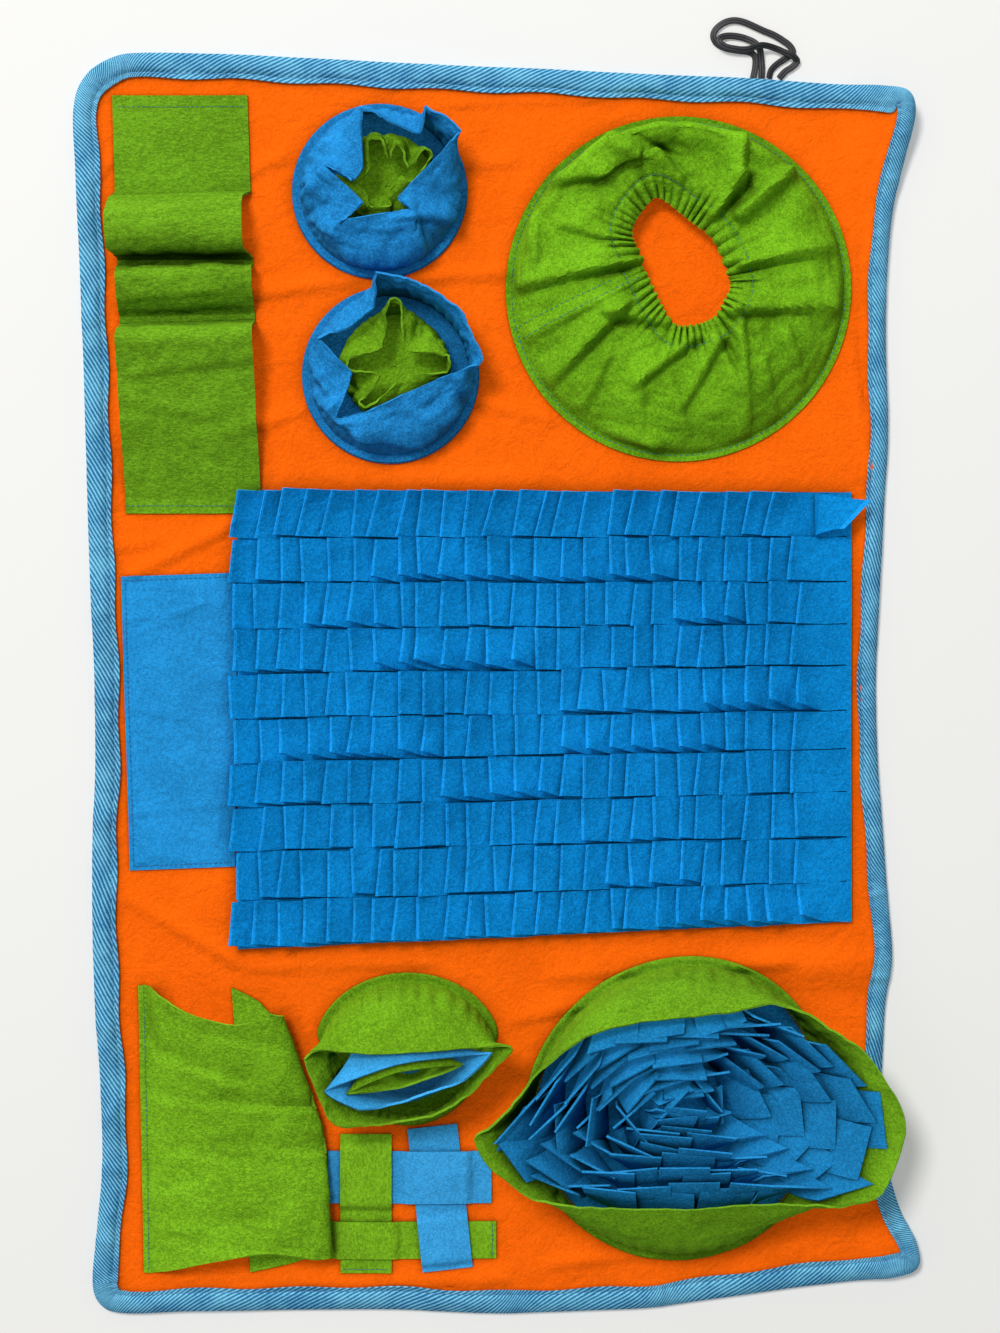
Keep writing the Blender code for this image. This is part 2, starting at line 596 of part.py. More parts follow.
# --- elastic --------------------------------------------------------------------------------------


def make_cord(name, route):
    """A tube along a smooth curve through the route's points."""
    curve = bpy.data.curves.new(name, "CURVE")
    curve.dimensions = "3D"
    curve.bevel_depth = CORD_RADIUS
    curve.bevel_resolution = 2
    curve.use_fill_caps = True
    places = [step / CORD_STEPS for step in range((len(route) - 1) * CORD_STEPS + 1)]
    line = curve.splines.new("POLY")
    line.points.add(len(places) - 1)
    for point, place in zip(line.points, places):
        x, y, level = open_point(route, place)
        point.co = (x, y, CORD_FLOOR + max(level, 0) * CORD_STACK, 1)
    curve.materials.append(felt_of("black_elastic"))
    PARTS.objects.link(bpy.data.objects.new(name, curve))


clear_scene()
PARTS = bpy.data.collections.new("snuffle_mat")
bpy.context.scene.collection.children.link(PARTS)
make_ground()
make_binding()
make_fringe()
make_patch()
make_loop_strip()
make_flap_tunnel()
make_straps()
make_tubes()
make_petal_rings()
make_cord("elastic_outer", OUTER_CORD)
make_cord("elastic_inner", INNER_CORD)
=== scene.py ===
"""The looks of a felt snuffle mat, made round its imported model.

Metres, +Z up, in the model's own frame: the mat lies face up on Z = 0 with its long side along Y.
Each felt piece is a sheet about a middle surface, which repeats the model's sizes at a finer step and
adds the folds, gathers and puckers of the cloth. Thread lies on the finished sheets.
"""

import math
import random

import bmesh
import bpy
from mathutils import Matrix, Vector, noise
from mathutils.bvhtree import BVHTree


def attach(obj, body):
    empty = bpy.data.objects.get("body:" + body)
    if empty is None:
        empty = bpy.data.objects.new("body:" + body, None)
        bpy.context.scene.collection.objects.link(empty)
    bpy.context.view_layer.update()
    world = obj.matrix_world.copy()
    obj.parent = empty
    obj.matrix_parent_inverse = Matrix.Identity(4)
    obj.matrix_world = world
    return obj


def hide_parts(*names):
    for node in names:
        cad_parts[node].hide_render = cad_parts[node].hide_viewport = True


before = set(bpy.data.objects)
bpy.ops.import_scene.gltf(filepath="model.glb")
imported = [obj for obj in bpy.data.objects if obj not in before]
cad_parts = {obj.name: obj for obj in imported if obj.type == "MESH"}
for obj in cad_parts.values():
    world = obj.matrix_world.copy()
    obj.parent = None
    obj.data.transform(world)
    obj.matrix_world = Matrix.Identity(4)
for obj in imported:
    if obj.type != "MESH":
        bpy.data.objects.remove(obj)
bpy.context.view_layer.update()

# Cloth
FELT = 0.0012
GROUND_FELT = 0.0020
TAPE = 0.0008
GAP = 0.0003
EDGE_ANGLE = math.radians(48)

# Heights of middle surfaces
GROUND_LEVEL = GROUND_FELT / 2
TAPE_LOW = TAPE / 2 + 0.00005
GROUND_RIM_LEVEL = TAPE_LOW + TAPE / 2 + GAP + GROUND_FELT / 2
TAPE_HIGH = GROUND_RIM_LEVEL + GROUND_FELT / 2 + GAP + TAPE / 2
LAID = GROUND_FELT + GAP + FELT / 2
STRAP_OVER = LAID + FELT + 0.0005
ON_FELT = LAID + FELT + GAP

# Outer edge of the bound mat, anticlockwise from the lower left corner: x, y
MAT_EDGE = (
    (-0.2155, -0.3165), (-0.2110, -0.3290), (-0.1985, -0.3332),
    (-0.1640, -0.3322), (-0.1110, -0.3316), (-0.0580, -0.3313), (-0.0053, -0.3334), (0.0212, -0.3328),
    (0.0742, -0.3307), (0.1007, -0.3275), (0.1537, -0.3201), (0.1900, -0.3158),
    (0.2080, -0.3140), (0.2205, -0.3085), (0.2200, -0.2955),
    (0.2115, -0.2780), (0.2045, -0.2520), (0.2018, -0.2265), (0.2035, -0.1733), (0.2072, -0.1468),
    (0.2056, -0.1203), (0.2035, -0.0938), (0.1998, -0.0408), (0.1988, -0.0010), (0.2003, 0.0387),
    (0.2030, 0.0917), (0.2051, 0.1315), (0.2038, 0.1845), (0.2051, 0.2242), (0.2078, 0.2507),
    (0.2136, 0.2772),
    (0.2182, 0.2990), (0.2150, 0.3105), (0.2035, 0.3142),
    (0.1802, 0.3164), (0.1272, 0.3201), (0.0742, 0.3222), (0.0212, 0.3249), (-0.0318, 0.3270),
    (-0.0848, 0.3297), (-0.1378, 0.3323), (-0.1850, 0.3334),
    (-0.2050, 0.3310), (-0.2200, 0.3205), (-0.2256, 0.3030),
    (-0.2245, 0.2700), (-0.2226, 0.2242), (-0.2205, 0.1712), (-0.2189, 0.1182), (-0.2172, 0.0650),
    (-0.2147, 0.0122), (-0.2141, -0.0408), (-0.2157, -0.0938), (-0.2147, -0.1600), (-0.2115, -0.2100),
    (-0.2104, -0.2528), (-0.2130, -0.2880),
)
# Rows of that table at the mat's corners, from the lower left anticlockwise
CORNER_ROWS = (1, 13, 32, 43)
TAPE_WIDTH = {"right": 0.0097, "top": 0.0135, "left": 0.0130, "bottom": 0.0120}
GROUND_INSET = 0.0022
GROUND_SIZE = (0.43, 0.65)
GROUND_CELLS = (172, 258)
# Where the ground comes down from its rim: start and reach, measured inwards
RIM_SLOPE_START = 0.0010
RIM_SLOPE = 0.0030
RIM_STEPS = (-0.0008, 0.0018)
# The binding's steps round the mat, and across it as shares of its width: up to 1 on the face, from
# there to 1.2 round the mat's edge, and up to 2 underneath
TAPE_TURN_ROWS = 928
TAPE_SHARES = (0, 0.05, 0.14, 0.22, 0.32, 0.45, 0.58, 0.70, 0.80, 0.90, 1.0, 1.12, 1.2, 1.5, 2.0)
# Its puffed face, the groove along its stitches, and the waves and puckers along it
TAPE_STITCH_LINE = 0.20
TAPE_PUFF = 0.00099
TAPE_GROOVE = 0.0009
TAPE_DROP = 0.0012
TAPE_WAVE = 0.05
TAPE_WAVE_RUN = 0.0085
TAPE_ROLL = 0.0006
TAPE_PUCKER = 0.00035
TAPE_PUCKER_RUN = 0.0011

# Where the whole mat stands off the floor: x, y, reach along x, reach along y, height
SWELLS = (
    (0.2250, 0.3150, 0.055, 0.075, 0.0110),
    (0.1700, -0.1500, 0.050, 0.016, 0.0022),
    (0.0700, -0.1440, 0.060, 0.012, 0.0014),
    (-0.2200, 0.0350, 0.030, 0.060, 0.0016),
    (-0.0200, 0.1060, 0.070, 0.012, 0.0010),
    (0.2250, -0.3150, 0.045, 0.040, 0.0040),
)
WAVE_DEPTH = 0.0022
WAVE_SIZE = 0.075
# Creases of the ground, as low ridges: x and y of both ends, height at both ends, gentle reach on the
# left of the line, steep reach on its right
GROUND_CREASES = (
    (-0.1307, 0.2704, -0.1170, 0.2768, 0.0010, 0.0013, 0.0090, 0.0034),
    (-0.1265, 0.2053, -0.0794, 0.2122, 0.0020, 0.0013, 0.0100, 0.0034),
    (-0.1265, 0.1360, -0.1043, 0.1439, 0.0018, 0.0010, 0.0090, 0.0034),
    (-0.2122, 0.2678, -0.2059, 0.2762, 0.0013, 0.0010, 0.0090, 0.0034),
    (-0.2048, 0.0709, -0.1778, 0.0751, 0.0011, 0.0007, 0.0090, 0.0034),
    (-0.1916, 0.0582, -0.1429, 0.0820, 0.0013, 0.0020, 0.0100, 0.0034),
    (-0.0169, 0.2730, 0.0053, 0.2757, 0.0010, 0.0011, 0.0090, 0.0034),
    (-0.0455, 0.2138, 0.0032, 0.2164, 0.0020, 0.0011, 0.0090, 0.0034),
    (-0.0300, 0.3060, 0.0500, 0.3090, 0.0010, 0.0011, 0.0090, 0.0034),
    (-0.0200, 0.1500, 0.0250, 0.1390, 0.0011, 0.0010, 0.0090, 0.0034),
    (0.0106, -0.1789, 0.0677, -0.1646, 0.0011, 0.0020, 0.0120, 0.0034),
    (-0.2064, -0.1096, -0.1429, -0.1466, 0.0011, 0.0018, 0.0100, 0.0034),
    (-0.1300, -0.1510, -0.0400, -0.1480, 0.0013, 0.0010, 0.0090, 0.0034),
    (0.0318, -0.1546, 0.1500, -0.1480, 0.0013, 0.0023, 0.0110, 0.0050),
    (-0.1990, -0.2180, -0.2060, -0.2280, 0.0011, 0.0013, 0.0090, 0.0034),
    (0.0300, -0.3080, 0.1300, -0.2960, 0.0016, 0.0011, 0.0090, 0.0034),
    (-0.1200, -0.3190, 0.0000, -0.3160, 0.0010, 0.0013, 0.0090, 0.0034),
    (0.1940, 0.1100, 0.1850, 0.1900, 0.0013, 0.0011, 0.0090, 0.0034),
    (0.1900, -0.0300, 0.1840, 0.0500, 0.0013, 0.0010, 0.0090, 0.0034),
)
# Wrinkles of flat cloth: size of the creases, depth
GROUND_WRINKLE = (0.030, 0.0005)
TAPE_WRINKLE = (0.006, 0.0004)
FRINGE_WRINKLE = (0.009, 0.00028)
PATCH_WRINKLE = (0.014, 0.0004)
STRAP_WRINKLE = (0.012, 0.00035)
LOOP_WRINKLE = (0.018, 0.0017)
FLAP_WRINKLE = (0.020, 0.0017)
RING_WRINKLE = (0.024, 0.0034)
RING_SEAM_WRINKLE = (0.006, 0.0005)
# Kinks across the binding, where it is darkest: row of the outline's table, depth
TAPE_KINKS = (
    (14.6, 0.0012), (16.4, 0.0009), (18.6, 0.0010), (20.4, 0.0008), (21.6, 0.0010), (22.7, 0.0008),
    (23.6, 0.0009), (24.6, 0.0007), (26.3, 0.0010), (27.4, 0.0009), (29.5, 0.0016), (30.4, 0.0009),
    (34.8, 0.0006), (36.2, 0.0006), (38.1, 0.0007), (40.2, 0.0006), (42.7, 0.0011), (46.6, 0.0012),
    (48.2, 0.0010), (49.5, 0.0011), (50.4, 0.0008), (51.6, 0.0012), (52.7, 0.0010), (53.4, 0.0011),
    (54.2, 0.0009), (55.1, 0.0012), (56.2, 0.0010), (3.2, 0.0006), (5.4, 0.0006), (8.4, 0.0007),
    (10.4, 0.0006), (12.6, 0.0010),
)

# Fringe panel: rows of tabs between cuts, y at the panel's left side and at its right side
FRINGE_CUTS = (
    (0.1020, 0.1007), (0.0763, 0.0774), (0.0530, 0.0535), (0.0281, 0.0313), (0.0048, 0.0095),
    (-0.0186, -0.0143), (-0.0419, -0.0345), (-0.0652, -0.0572), (-0.0885, -0.0811),
    (-0.1145, -0.1044), (-0.1400, -0.1260),
)
FRINGE_LEFT = -0.1240
FRINGE_RIGHT = 0.1855
STRIP_COUNT = 25
FIRST_ROOT = -0.1115
LAST_ROOT = 0.1828
ROOT_BAND = 0.0025
ROOT_WANDER = 0.0004
# The seam's place among the shares of a tab's length
ROOT_SHARE = -0.08
TAB_LENGTH = 0.0285
TAB_SLIT = 0.0006
TAB_SLOPE = 0.15
TAB_GAP = 0.001
TAB_COLUMNS = 10
TAB_ROWS = 8
# Tabs whose lower edge stands open: row, first strip, last strip, lift
OPEN_EDGES = (
    (1, 6, 18, 0.0058), (2, 3, 6, 0.0055), (2, 19, 21, 0.0060), (3, 6, 12, 0.0084), (3, 0, 3, 0.0030),
    (4, 14, 19, 0.0032), (4, 20, 24, 0.0097), (5, 2, 8, 0.0078), (5, 14, 20, 0.0075),
    (6, 9, 13, 0.0078), (6, 0, 3, 0.0030), (7, 15, 19, 0.0030), (8, 16, 19, 0.0056),
    (8, 0, 5, 0.0026), (9, 19, 24, 0.0084), (9, 0, 10, 0.0042), (9, 11, 18, 0.0032),
)
# The last tab of the first row is rolled back to the right: share of its length, x, height. From
# ROLL_FROM on, its end is also askew and drawn together.
ROLL_FROM = 0.6
ROLL_RISE = 0.0006
ROLL_ASKEW = 0.0140
ROLL_DRAWN = 0.0070
ROLL_SHIFT = 0.0030
ROLLED_TAB = (
    (0, 0, 0), (0.45, -0.0115, 0.0020), (0.60, -0.0165, 0.0045), (0.72, -0.0145, 0.0085),
    (1, 0.0085, 0.0115),
)
FRINGE_BASE_LEFT = -0.1386
# Share of a tab's length from which its face takes the paler cut-edge felt: a painted highlight along the
# free edge
EDGE_HIGHLIGHT_COLUMN = 0.965

PATCH_CORNERS = ((-0.1956, -0.0991), (-0.1399, -0.0970), (-0.1389, 0.0583), (-0.2003, 0.0562))
PATCH_SIZE = (0.06, 0.155)
PATCH_PUFF = 0.0005
PATCH_SEAM = 0.0022
PATCH_CREASES = (
    (-0.1990, 0.0330, -0.1660, 0.0370, 0.0004, 0.0004, 0.0040, 0.0014),
    (-0.1960, 0.0230, -0.1560, 0.0420, 0.0003, 0.0005, 0.0050, 0.0014),
    (-0.1580, 0.0300, -0.1400, 0.0230, 0.0004, 0.0006, 0.0050, 0.0016),
    (-0.1950, -0.0150, -0.1500, -0.0210, 0.0003, 0.0003, 0.0060, 0.0020),
    (-0.1940, -0.0700, -0.1450, -0.0640, 0.0004, 0.0004, 0.0060, 0.0020),
    (-0.1500, -0.0850, -0.1420, -0.0350, 0.0004, 0.0003, 0.0040, 0.0016),
)

# Strip with three standing loops: height of its middle surface along y, and its centre line
LOOP_PROFILE = (
    (0.3106, LAID), (0.2650, LAID), (0.2595, 0.0045), (0.2555, 0.0120), (0.2500, 0.0185),
    (0.2430, 0.0228), (0.2350, 0.0236), (0.2295, 0.0216), (0.2266, 0.0176), (0.2258, 0.0120),
    (0.2258, 0.0055), (0.2236, LAID), (0.2210, LAID), (0.2195, 0.0110), (0.2172, 0.0160),
    (0.2130, 0.0168), (0.2060, 0.0138), (0.2000, 0.0085), (0.1970, 0.0042), (0.1950, LAID),
    (0.1918, LAID), (0.1892, 0.0120), (0.1864, 0.0214), (0.1820, 0.0246), (0.1740, 0.0226),
    (0.1640, 0.0190), (0.1500, 0.0164), (0.1280, 0.0108), (0.1080, 0.0052), (0.0975, LAID), (0.0896, LAID),
)
# How far the loops lie lower at their left end: y, shift
LOOP_SHIFTS = (
    (0, 0), (0.1200, 0), (0.1800, -0.0030), (0.1950, -0.0020), (0.2140, -0.0015), (0.2220, 0),
    (0.2300, 0), (0.2560, -0.0040), (0.2700, 0), (1, 0),
)
# How far the upper loop is pushed to the left, and how much the standing cloth sways
LOOP_STEP = 0.0036
LOOP_SWAY = 0.05
LOOP_CREASES = (
    (-0.2020, 0.2440, -0.1330, 0.2500, 0.0010, 0.0014, 0.0090, 0.0030),
    (-0.1900, 0.1620, -0.1300, 0.1700, 0.0012, 0.0008, 0.0100, 0.0030),
    (-0.2000, 0.1480, -0.1500, 0.1400, 0.0010, 0.0012, 0.0100, 0.0030),
    (-0.1600, 0.1280, -0.1290, 0.1340, 0.0008, 0.0012, 0.0100, 0.0030),
    (-0.2030, 0.2020, -0.1500, 0.2060, 0.0008, 0.0010, 0.0060, 0.0026),
)
LOOP_STRIP_WIDTH = 0.0716
LOOP_STRIP_TOP_X = -0.1693
LOOP_STRIP_BOTTOM_X = -0.1619

# Flap tunnel, from its upper end to its lower end: sewn edge, crest, fold and return of its section
FLAP_SECTIONS = (
    # left x, left y, crest y, fold x, fold y, return x, return y, crest z
    (-0.1913, -0.1600, -0.1780, -0.1145, -0.1750, -0.1420, -0.1610, 0.0236),
    (-0.1905, -0.1980, -0.2060, -0.1034, -0.2060, -0.1390, -0.2000, 0.0178),
    (-0.1898, -0.2360, -0.2380, -0.0933, -0.2390, -0.1370, -0.2380, 0.0126),
    (-0.1890, -0.2740, -0.2710, -0.0906, -0.2680, -0.1340, -0.2750, 0.0155),
    (-0.1882, -0.3116, -0.2985, -0.0890, -0.3020, -0.1320, -0.3116, 0.0194),
)
FLAP_SEAM = 0.0050
FLAP_ROLL = 0.0065
# Last point of its section, and the point at its fold
FLAP_END = 9
FLAP_FOLD = 6
FLAP_CREASES = (
    (-0.1860, -0.2180, -0.0990, -0.2230, 0.0014, 0.0020, 0.0120, 0.0026),
    (-0.1850, -0.2440, -0.1400, -0.2500, 0.0016, 0.0008, 0.0110, 0.0026),
    (-0.1400, -0.2420, -0.0950, -0.2460, 0.0008, 0.0018, 0.0100, 0.0026),
    (-0.1870, -0.2700, -0.1560, -0.2600, 0.0018, 0.0006, 0.0100, 0.0026),
    (-0.1850, -0.2920, -0.1150, -0.2980, 0.0010, 0.0014, 0.0100, 0.0026),
    (-0.1800, -0.1950, -0.1350, -0.2080, 0.0010, 0.0018, 0.0110, 0.0030),
    (-0.1120, -0.2960, -0.0940, -0.3010, 0.0016, 0.0022, 0.0080, 0.0026),
    (-0.1780, -0.2840, -0.1200, -0.2800, 0.0008, 0.0012, 0.0100, 0.0026),
    (-0.1500, -0.1840, -0.1180, -0.1900, 0.0008, 0.0014, 0.0100, 0.0026),
)

# Woven straps: their runs, with the stretch of each that passes over the strap it crosses
STRAPS = {
    # name: start x, start y, end x, end y, width, first and last share of the run that is raised
    "strap_upright_left": (-0.0708, -0.2385, -0.0708, -0.3120, 0.0271, 0.07, 0.545),
    "strap_upright_right": (-0.0358, -0.2345, -0.0276, -0.3100, 0.0265, 0.61, 0.975),
    "strap_cross_upper": (-0.0910, -0.2612, -0.0045, -0.2612, 0.0275, 0.45, 0.89),
    "strap_cross_lower": (-0.0905, -0.2944, -0.0020, -0.2944, 0.0196, 0.02, 0.43),
}
STRAP_EASE = 0.04
STRAP_CROWN = 0.0006

# Tubes sewn to the ground. Rim: degrees round the base, then x, y, z of the mouth's edge there
UPPER_CUP_CENTRE = (-0.0636, 0.2597)
UPPER_CUP_RADIUS = 0.0456
UPPER_CUP_RIM = (
    (25, -0.0199, 0.2859, 0.033), (55, -0.0386, 0.2987, 0.035), (70, -0.0418, 0.2850, 0.033),
    (82, -0.0500, 0.2880, 0.033), (104, -0.0720, 0.2975, 0.034), (148, -0.0712, 0.2680, 0.030),
    (165, -0.0755, 0.2615, 0.028), (180, -0.0910, 0.2690, 0.028), (208, -0.0705, 0.2490, 0.030),
    (228, -0.0835, 0.2405, 0.029), (295, -0.0450, 0.2460, 0.031), (314, -0.0530, 0.2520, 0.030),
)
UPPER_INSERT_CENTRE = (-0.0600, 0.2620)
UPPER_INSERT_RADIUS = 0.0300
UPPER_INSERT_RIM = (
    (15, -0.0355, 0.2740, 0.026), (40, -0.0395, 0.2790, 0.027), (55, -0.0480, 0.2680, 0.024),
    (68, -0.0495, 0.2770, 0.027), (80, -0.0540, 0.2800, 0.028), (92, -0.0575, 0.2725, 0.025),
    (105, -0.0605, 0.2825, 0.028), (130, -0.0690, 0.2815, 0.028), (155, -0.0675, 0.2675, 0.025),
    (178, -0.0755, 0.2600, 0.024), (200, -0.0695, 0.2540, 0.024), (225, -0.0670, 0.2480, 0.024),
    (262, -0.0565, 0.2490, 0.024), (276, -0.0590, 0.2540, 0.024), (292, -0.0515, 0.2640, 0.026),
    (312, -0.0460, 0.2605, 0.026),
)
LOWER_CUP_CENTRE = (-0.0578, 0.1627)
LOWER_CUP_RADIUS = 0.0461
LOWER_CUP_RIM = (
    (6, -0.0090, 0.1675, 0.032), (34, -0.0186, 0.1913, 0.033), (58, -0.0315, 0.2022, 0.034),
    (78, -0.0469, 0.2099, 0.035), (98, -0.0643, 0.2125, 0.037), (122, -0.0649, 0.1945, 0.032),
    (142, -0.0765, 0.1860, 0.030), (165, -0.0952, 0.1797, 0.028), (186, -0.0772, 0.1610, 0.027),
    (218, -0.0849, 0.1380, 0.026), (238, -0.0700, 0.1405, 0.026), (268, -0.0508, 0.1498, 0.028),
    (318, -0.0289, 0.1591, 0.030),
)
LOWER_INSERT_CENTRE = (-0.0555, 0.1670)
LOWER_INSERT_RADIUS = 0.0315
LOWER_INSERT_RIM = (
    (8, -0.0265, 0.1705, 0.026), (45, -0.0495, 0.1745, 0.022), (76, -0.0505, 0.1975, 0.028),
    (88, -0.0545, 0.2005, 0.029), (100, -0.0585, 0.1980, 0.028), (132, -0.0615, 0.1750, 0.022),
    (170, -0.0790, 0.1695, 0.025), (184, -0.0790, 0.1640, 0.025), (212, -0.0625, 0.1605, 0.021),
    (228, -0.0735, 0.1470, 0.024), (240, -0.0705, 0.1430, 0.025), (254, -0.0640, 0.1465, 0.024),
    (310, -0.0495, 0.1605, 0.021), (352, -0.0270, 0.1615, 0.025),
)
NEST_CENTRE = (-0.0488, -0.1935)
NEST_OUTER_RADIUS = 0.0395
NEST_OUTER_RIM = (
    (2, 0.0060, -0.1890, 0.038), (25, -0.0054, -0.1866, 0.040), (80, -0.0381, -0.1895, 0.042),
    (120, -0.0671, -0.1905, 0.042), (160, -0.0921, -0.1889, 0.040), (180, -0.1014, -0.1935, 0.038),
    (215, -0.0890, -0.2246, 0.036), (228, -0.0813, -0.2295, 0.036), (262, -0.0530, -0.2262, 0.036),
    (285, -0.0347, -0.2236, 0.037), (318, -0.0163, -0.2128, 0.038),
)
NEST_MIDDLE_RADIUS = 0.0280
NEST_MIDDLE_RIM = (
    (2, -0.0040, -0.1905, 0.038), (40, -0.0271, -0.1925, 0.039), (95, -0.0542, -0.1965, 0.040),
    (175, -0.0905, -0.2105, 0.037), (225, -0.0726, -0.2205, 0.035), (262, -0.0509, -0.2165, 0.035),
    (290, -0.0379, -0.2115, 0.036), (325, -0.0184, -0.2050, 0.037),
)
NEST_INNER_RADIUS = 0.0190
NEST_INNER_RIM = (
    (2, -0.0190, -0.1965, 0.036), (85, -0.0540, -0.2010, 0.037), (175, -0.0795, -0.2125, 0.035),
    (262, -0.0520, -0.2090, 0.034), (310, -0.0330, -0.2025, 0.035),
)
POUCH_CENTRE = (0.0928, -0.2247)
POUCH_RADIUS = 0.0795
POUCH_RIM = (
    (-4, 0.2078, -0.2311, 0.045), (12, 0.2031, -0.2122, 0.045), (32, 0.1828, -0.1856, 0.047),
    (56, 0.1450, -0.1640, 0.050), (75, 0.1139, -0.1685, 0.050), (105, 0.0669, -0.1739, 0.050),
    (122, 0.0419, -0.1810, 0.050), (145, 0.0202, -0.1982, 0.048), (165, 0.0000, -0.2232, 0.044),
    (182, -0.0134, -0.2341, 0.040), (195, -0.0048, -0.2497, 0.042), (215, 0.0186, -0.2646, 0.046),
    (235, 0.0421, -0.2683, 0.048), (268, 0.0889, -0.2693, 0.048), (300, 0.1358, -0.2668, 0.046),
    (325, 0.1750, -0.2683, 0.044), (342, 0.1965, -0.2620, 0.043),
)
SEAM_ALLOWANCE = 0.0040
INSERT_ALLOWANCE = 0.0030
BAG_HOLE = 0.0004
# Radius to which an allowance is turned under
CUP_UNDER = 0.018
POUCH_UNDER = 0.0745
# How far the feet of the nest's outer tube and of the pouch lie off their circles
NEST_DRIFT = 0.0090
POUCH_LEAN = 0.0080
# Walls: size and depth of the crumples, number and depth of the gathers
CUP_WALL = (0.013, 0.0026, 46, 0.0014)
INSERT_WALL = (0.008, 0.0024, 26, 0.0010)
POUCH_WALL = (0.018, 0.0020, 52, 0.0018)
# Rows of a tube below its wall: of the allowance, and of what is turned under it
ALLOWANCE_ROWS = (-1, -0.6, -0.2)
UNDER_ROWS = (-3, -2.5, -2.05, -1.5)
FOLD_OUT = 0.0006
# Wall of a tube: share of the way to the rim, share of its height
WALL_PROFILE = ((0, 0), (0.04, 0.18), (0.10, 0.36), (0.22, 0.58), (0.42, 0.76), (0.70, 0.90), (1, 1))

# Folds of the cups' walls, in the columns of the ground's creases
CUP_FOLDS = (
    (-0.0776, 0.2225, -0.0502, 0.2190, 0.0040, 0.0044, 0.0120, 0.0026),
    (-0.0502, 0.2190, -0.0397, 0.2235, 0.0044, 0.0036, 0.0100, 0.0026),
    (-0.0397, 0.2235, -0.0460, 0.2480, 0.0034, 0.0020, 0.0090, 0.0024),
    (-0.0489, 0.2432, -0.0254, 0.2443, 0.0034, 0.0044, 0.0110, 0.0026),
    (-0.0254, 0.2443, -0.0202, 0.2720, 0.0044, 0.0030, 0.0090, 0.0024),
    (-0.0900, 0.2700, -0.1010, 0.2560, 0.0020, 0.0030, 0.0090, 0.0028),
    (-0.1020, 0.2760, -0.0900, 0.2830, 0.0028, 0.0018, 0.0070, 0.0024),
    (-0.0960, 0.2420, -0.0860, 0.2330, 0.0026, 0.0020, 0.0070, 0.0024),
    (-0.0850, 0.1390, -0.0710, 0.1305, 0.0030, 0.0046, 0.0120, 0.0028),
    (-0.0710, 0.1305, -0.0423, 0.1240, 0.0046, 0.0030, 0.0120, 0.0028),
    (-0.0423, 0.1240, -0.0250, 0.1420, 0.0030, 0.0036, 0.0100, 0.0028),
    (-0.0980, 0.1500, -0.0860, 0.1420, 0.0024, 0.0030, 0.0080, 0.0024),
    (-0.0985, 0.1690, -0.0905, 0.1540, 0.0026, 0.0022, 0.0080, 0.0024),
    (-0.0240, 0.1600, -0.0165, 0.1500, 0.0026, 0.0030, 0.0080, 0.0024),
)

# Gathered ring: its hole is its rim, and the dome stands above the hole's edge
RING_CENTRE = (0.0943, 0.2083)
RING_RADIUS = 0.0912
RING_HOLE = (
    (345, 0.1199, 0.2063, 0.016), (375, 0.1186, 0.2145, 0.016), (400, 0.1110, 0.2323, 0.016),
    (430, 0.0974, 0.2432, 0.016), (465, 0.0823, 0.2542, 0.016), (500, 0.0714, 0.2418, 0.016),
    (520, 0.0700, 0.2323, 0.016), (555, 0.0768, 0.2172, 0.015), (600, 0.0878, 0.1940, 0.014),
    (622, 0.0946, 0.1878, 0.014), (645, 0.1042, 0.1892, 0.014), (670, 0.1138, 0.1940, 0.015),
)
RING_PROFILE = (
    (0, 0), (0.05, 0.38), (0.14, 0.78), (0.28, 1.14), (0.45, 1.38), (0.62, 1.42), (0.78, 1.34),
    (0.90, 1.22), (0.97, 1.10), (1, 0.92),
)
CASING = 0.0120
CASING_GROOVE = 0.0009
CASING_GROOVE_REACH = 0.0022
# Small gathers round the hole, two to each wave: number of waves, depth, and how far out from the hole
# they reach at least and how much further at most
GATHER_WAVES = 26
GATHER_DEPTH = 0.0030
GATHER_REACH = 0.010
GATHER_MORE = 0.016
# Distance between the ring's columns at its hole, and its rows
RING_STEP = 0.00058
RING_ROWS = 84
# Towards the mat's upper end the ring is highest beside its outer seam
RING_UPPER_PROFILE = (
    (0, 0), (0.03, 0.80), (0.06, 1.35), (0.11, 1.62), (0.20, 1.45), (0.32, 1.12), (0.42, 0.96),
    (0.52, 1.02), (0.66, 1.06), (0.80, 0.98), (1, 0.82),
)
UPPER_TURN = 100
UPPER_REACH = 95
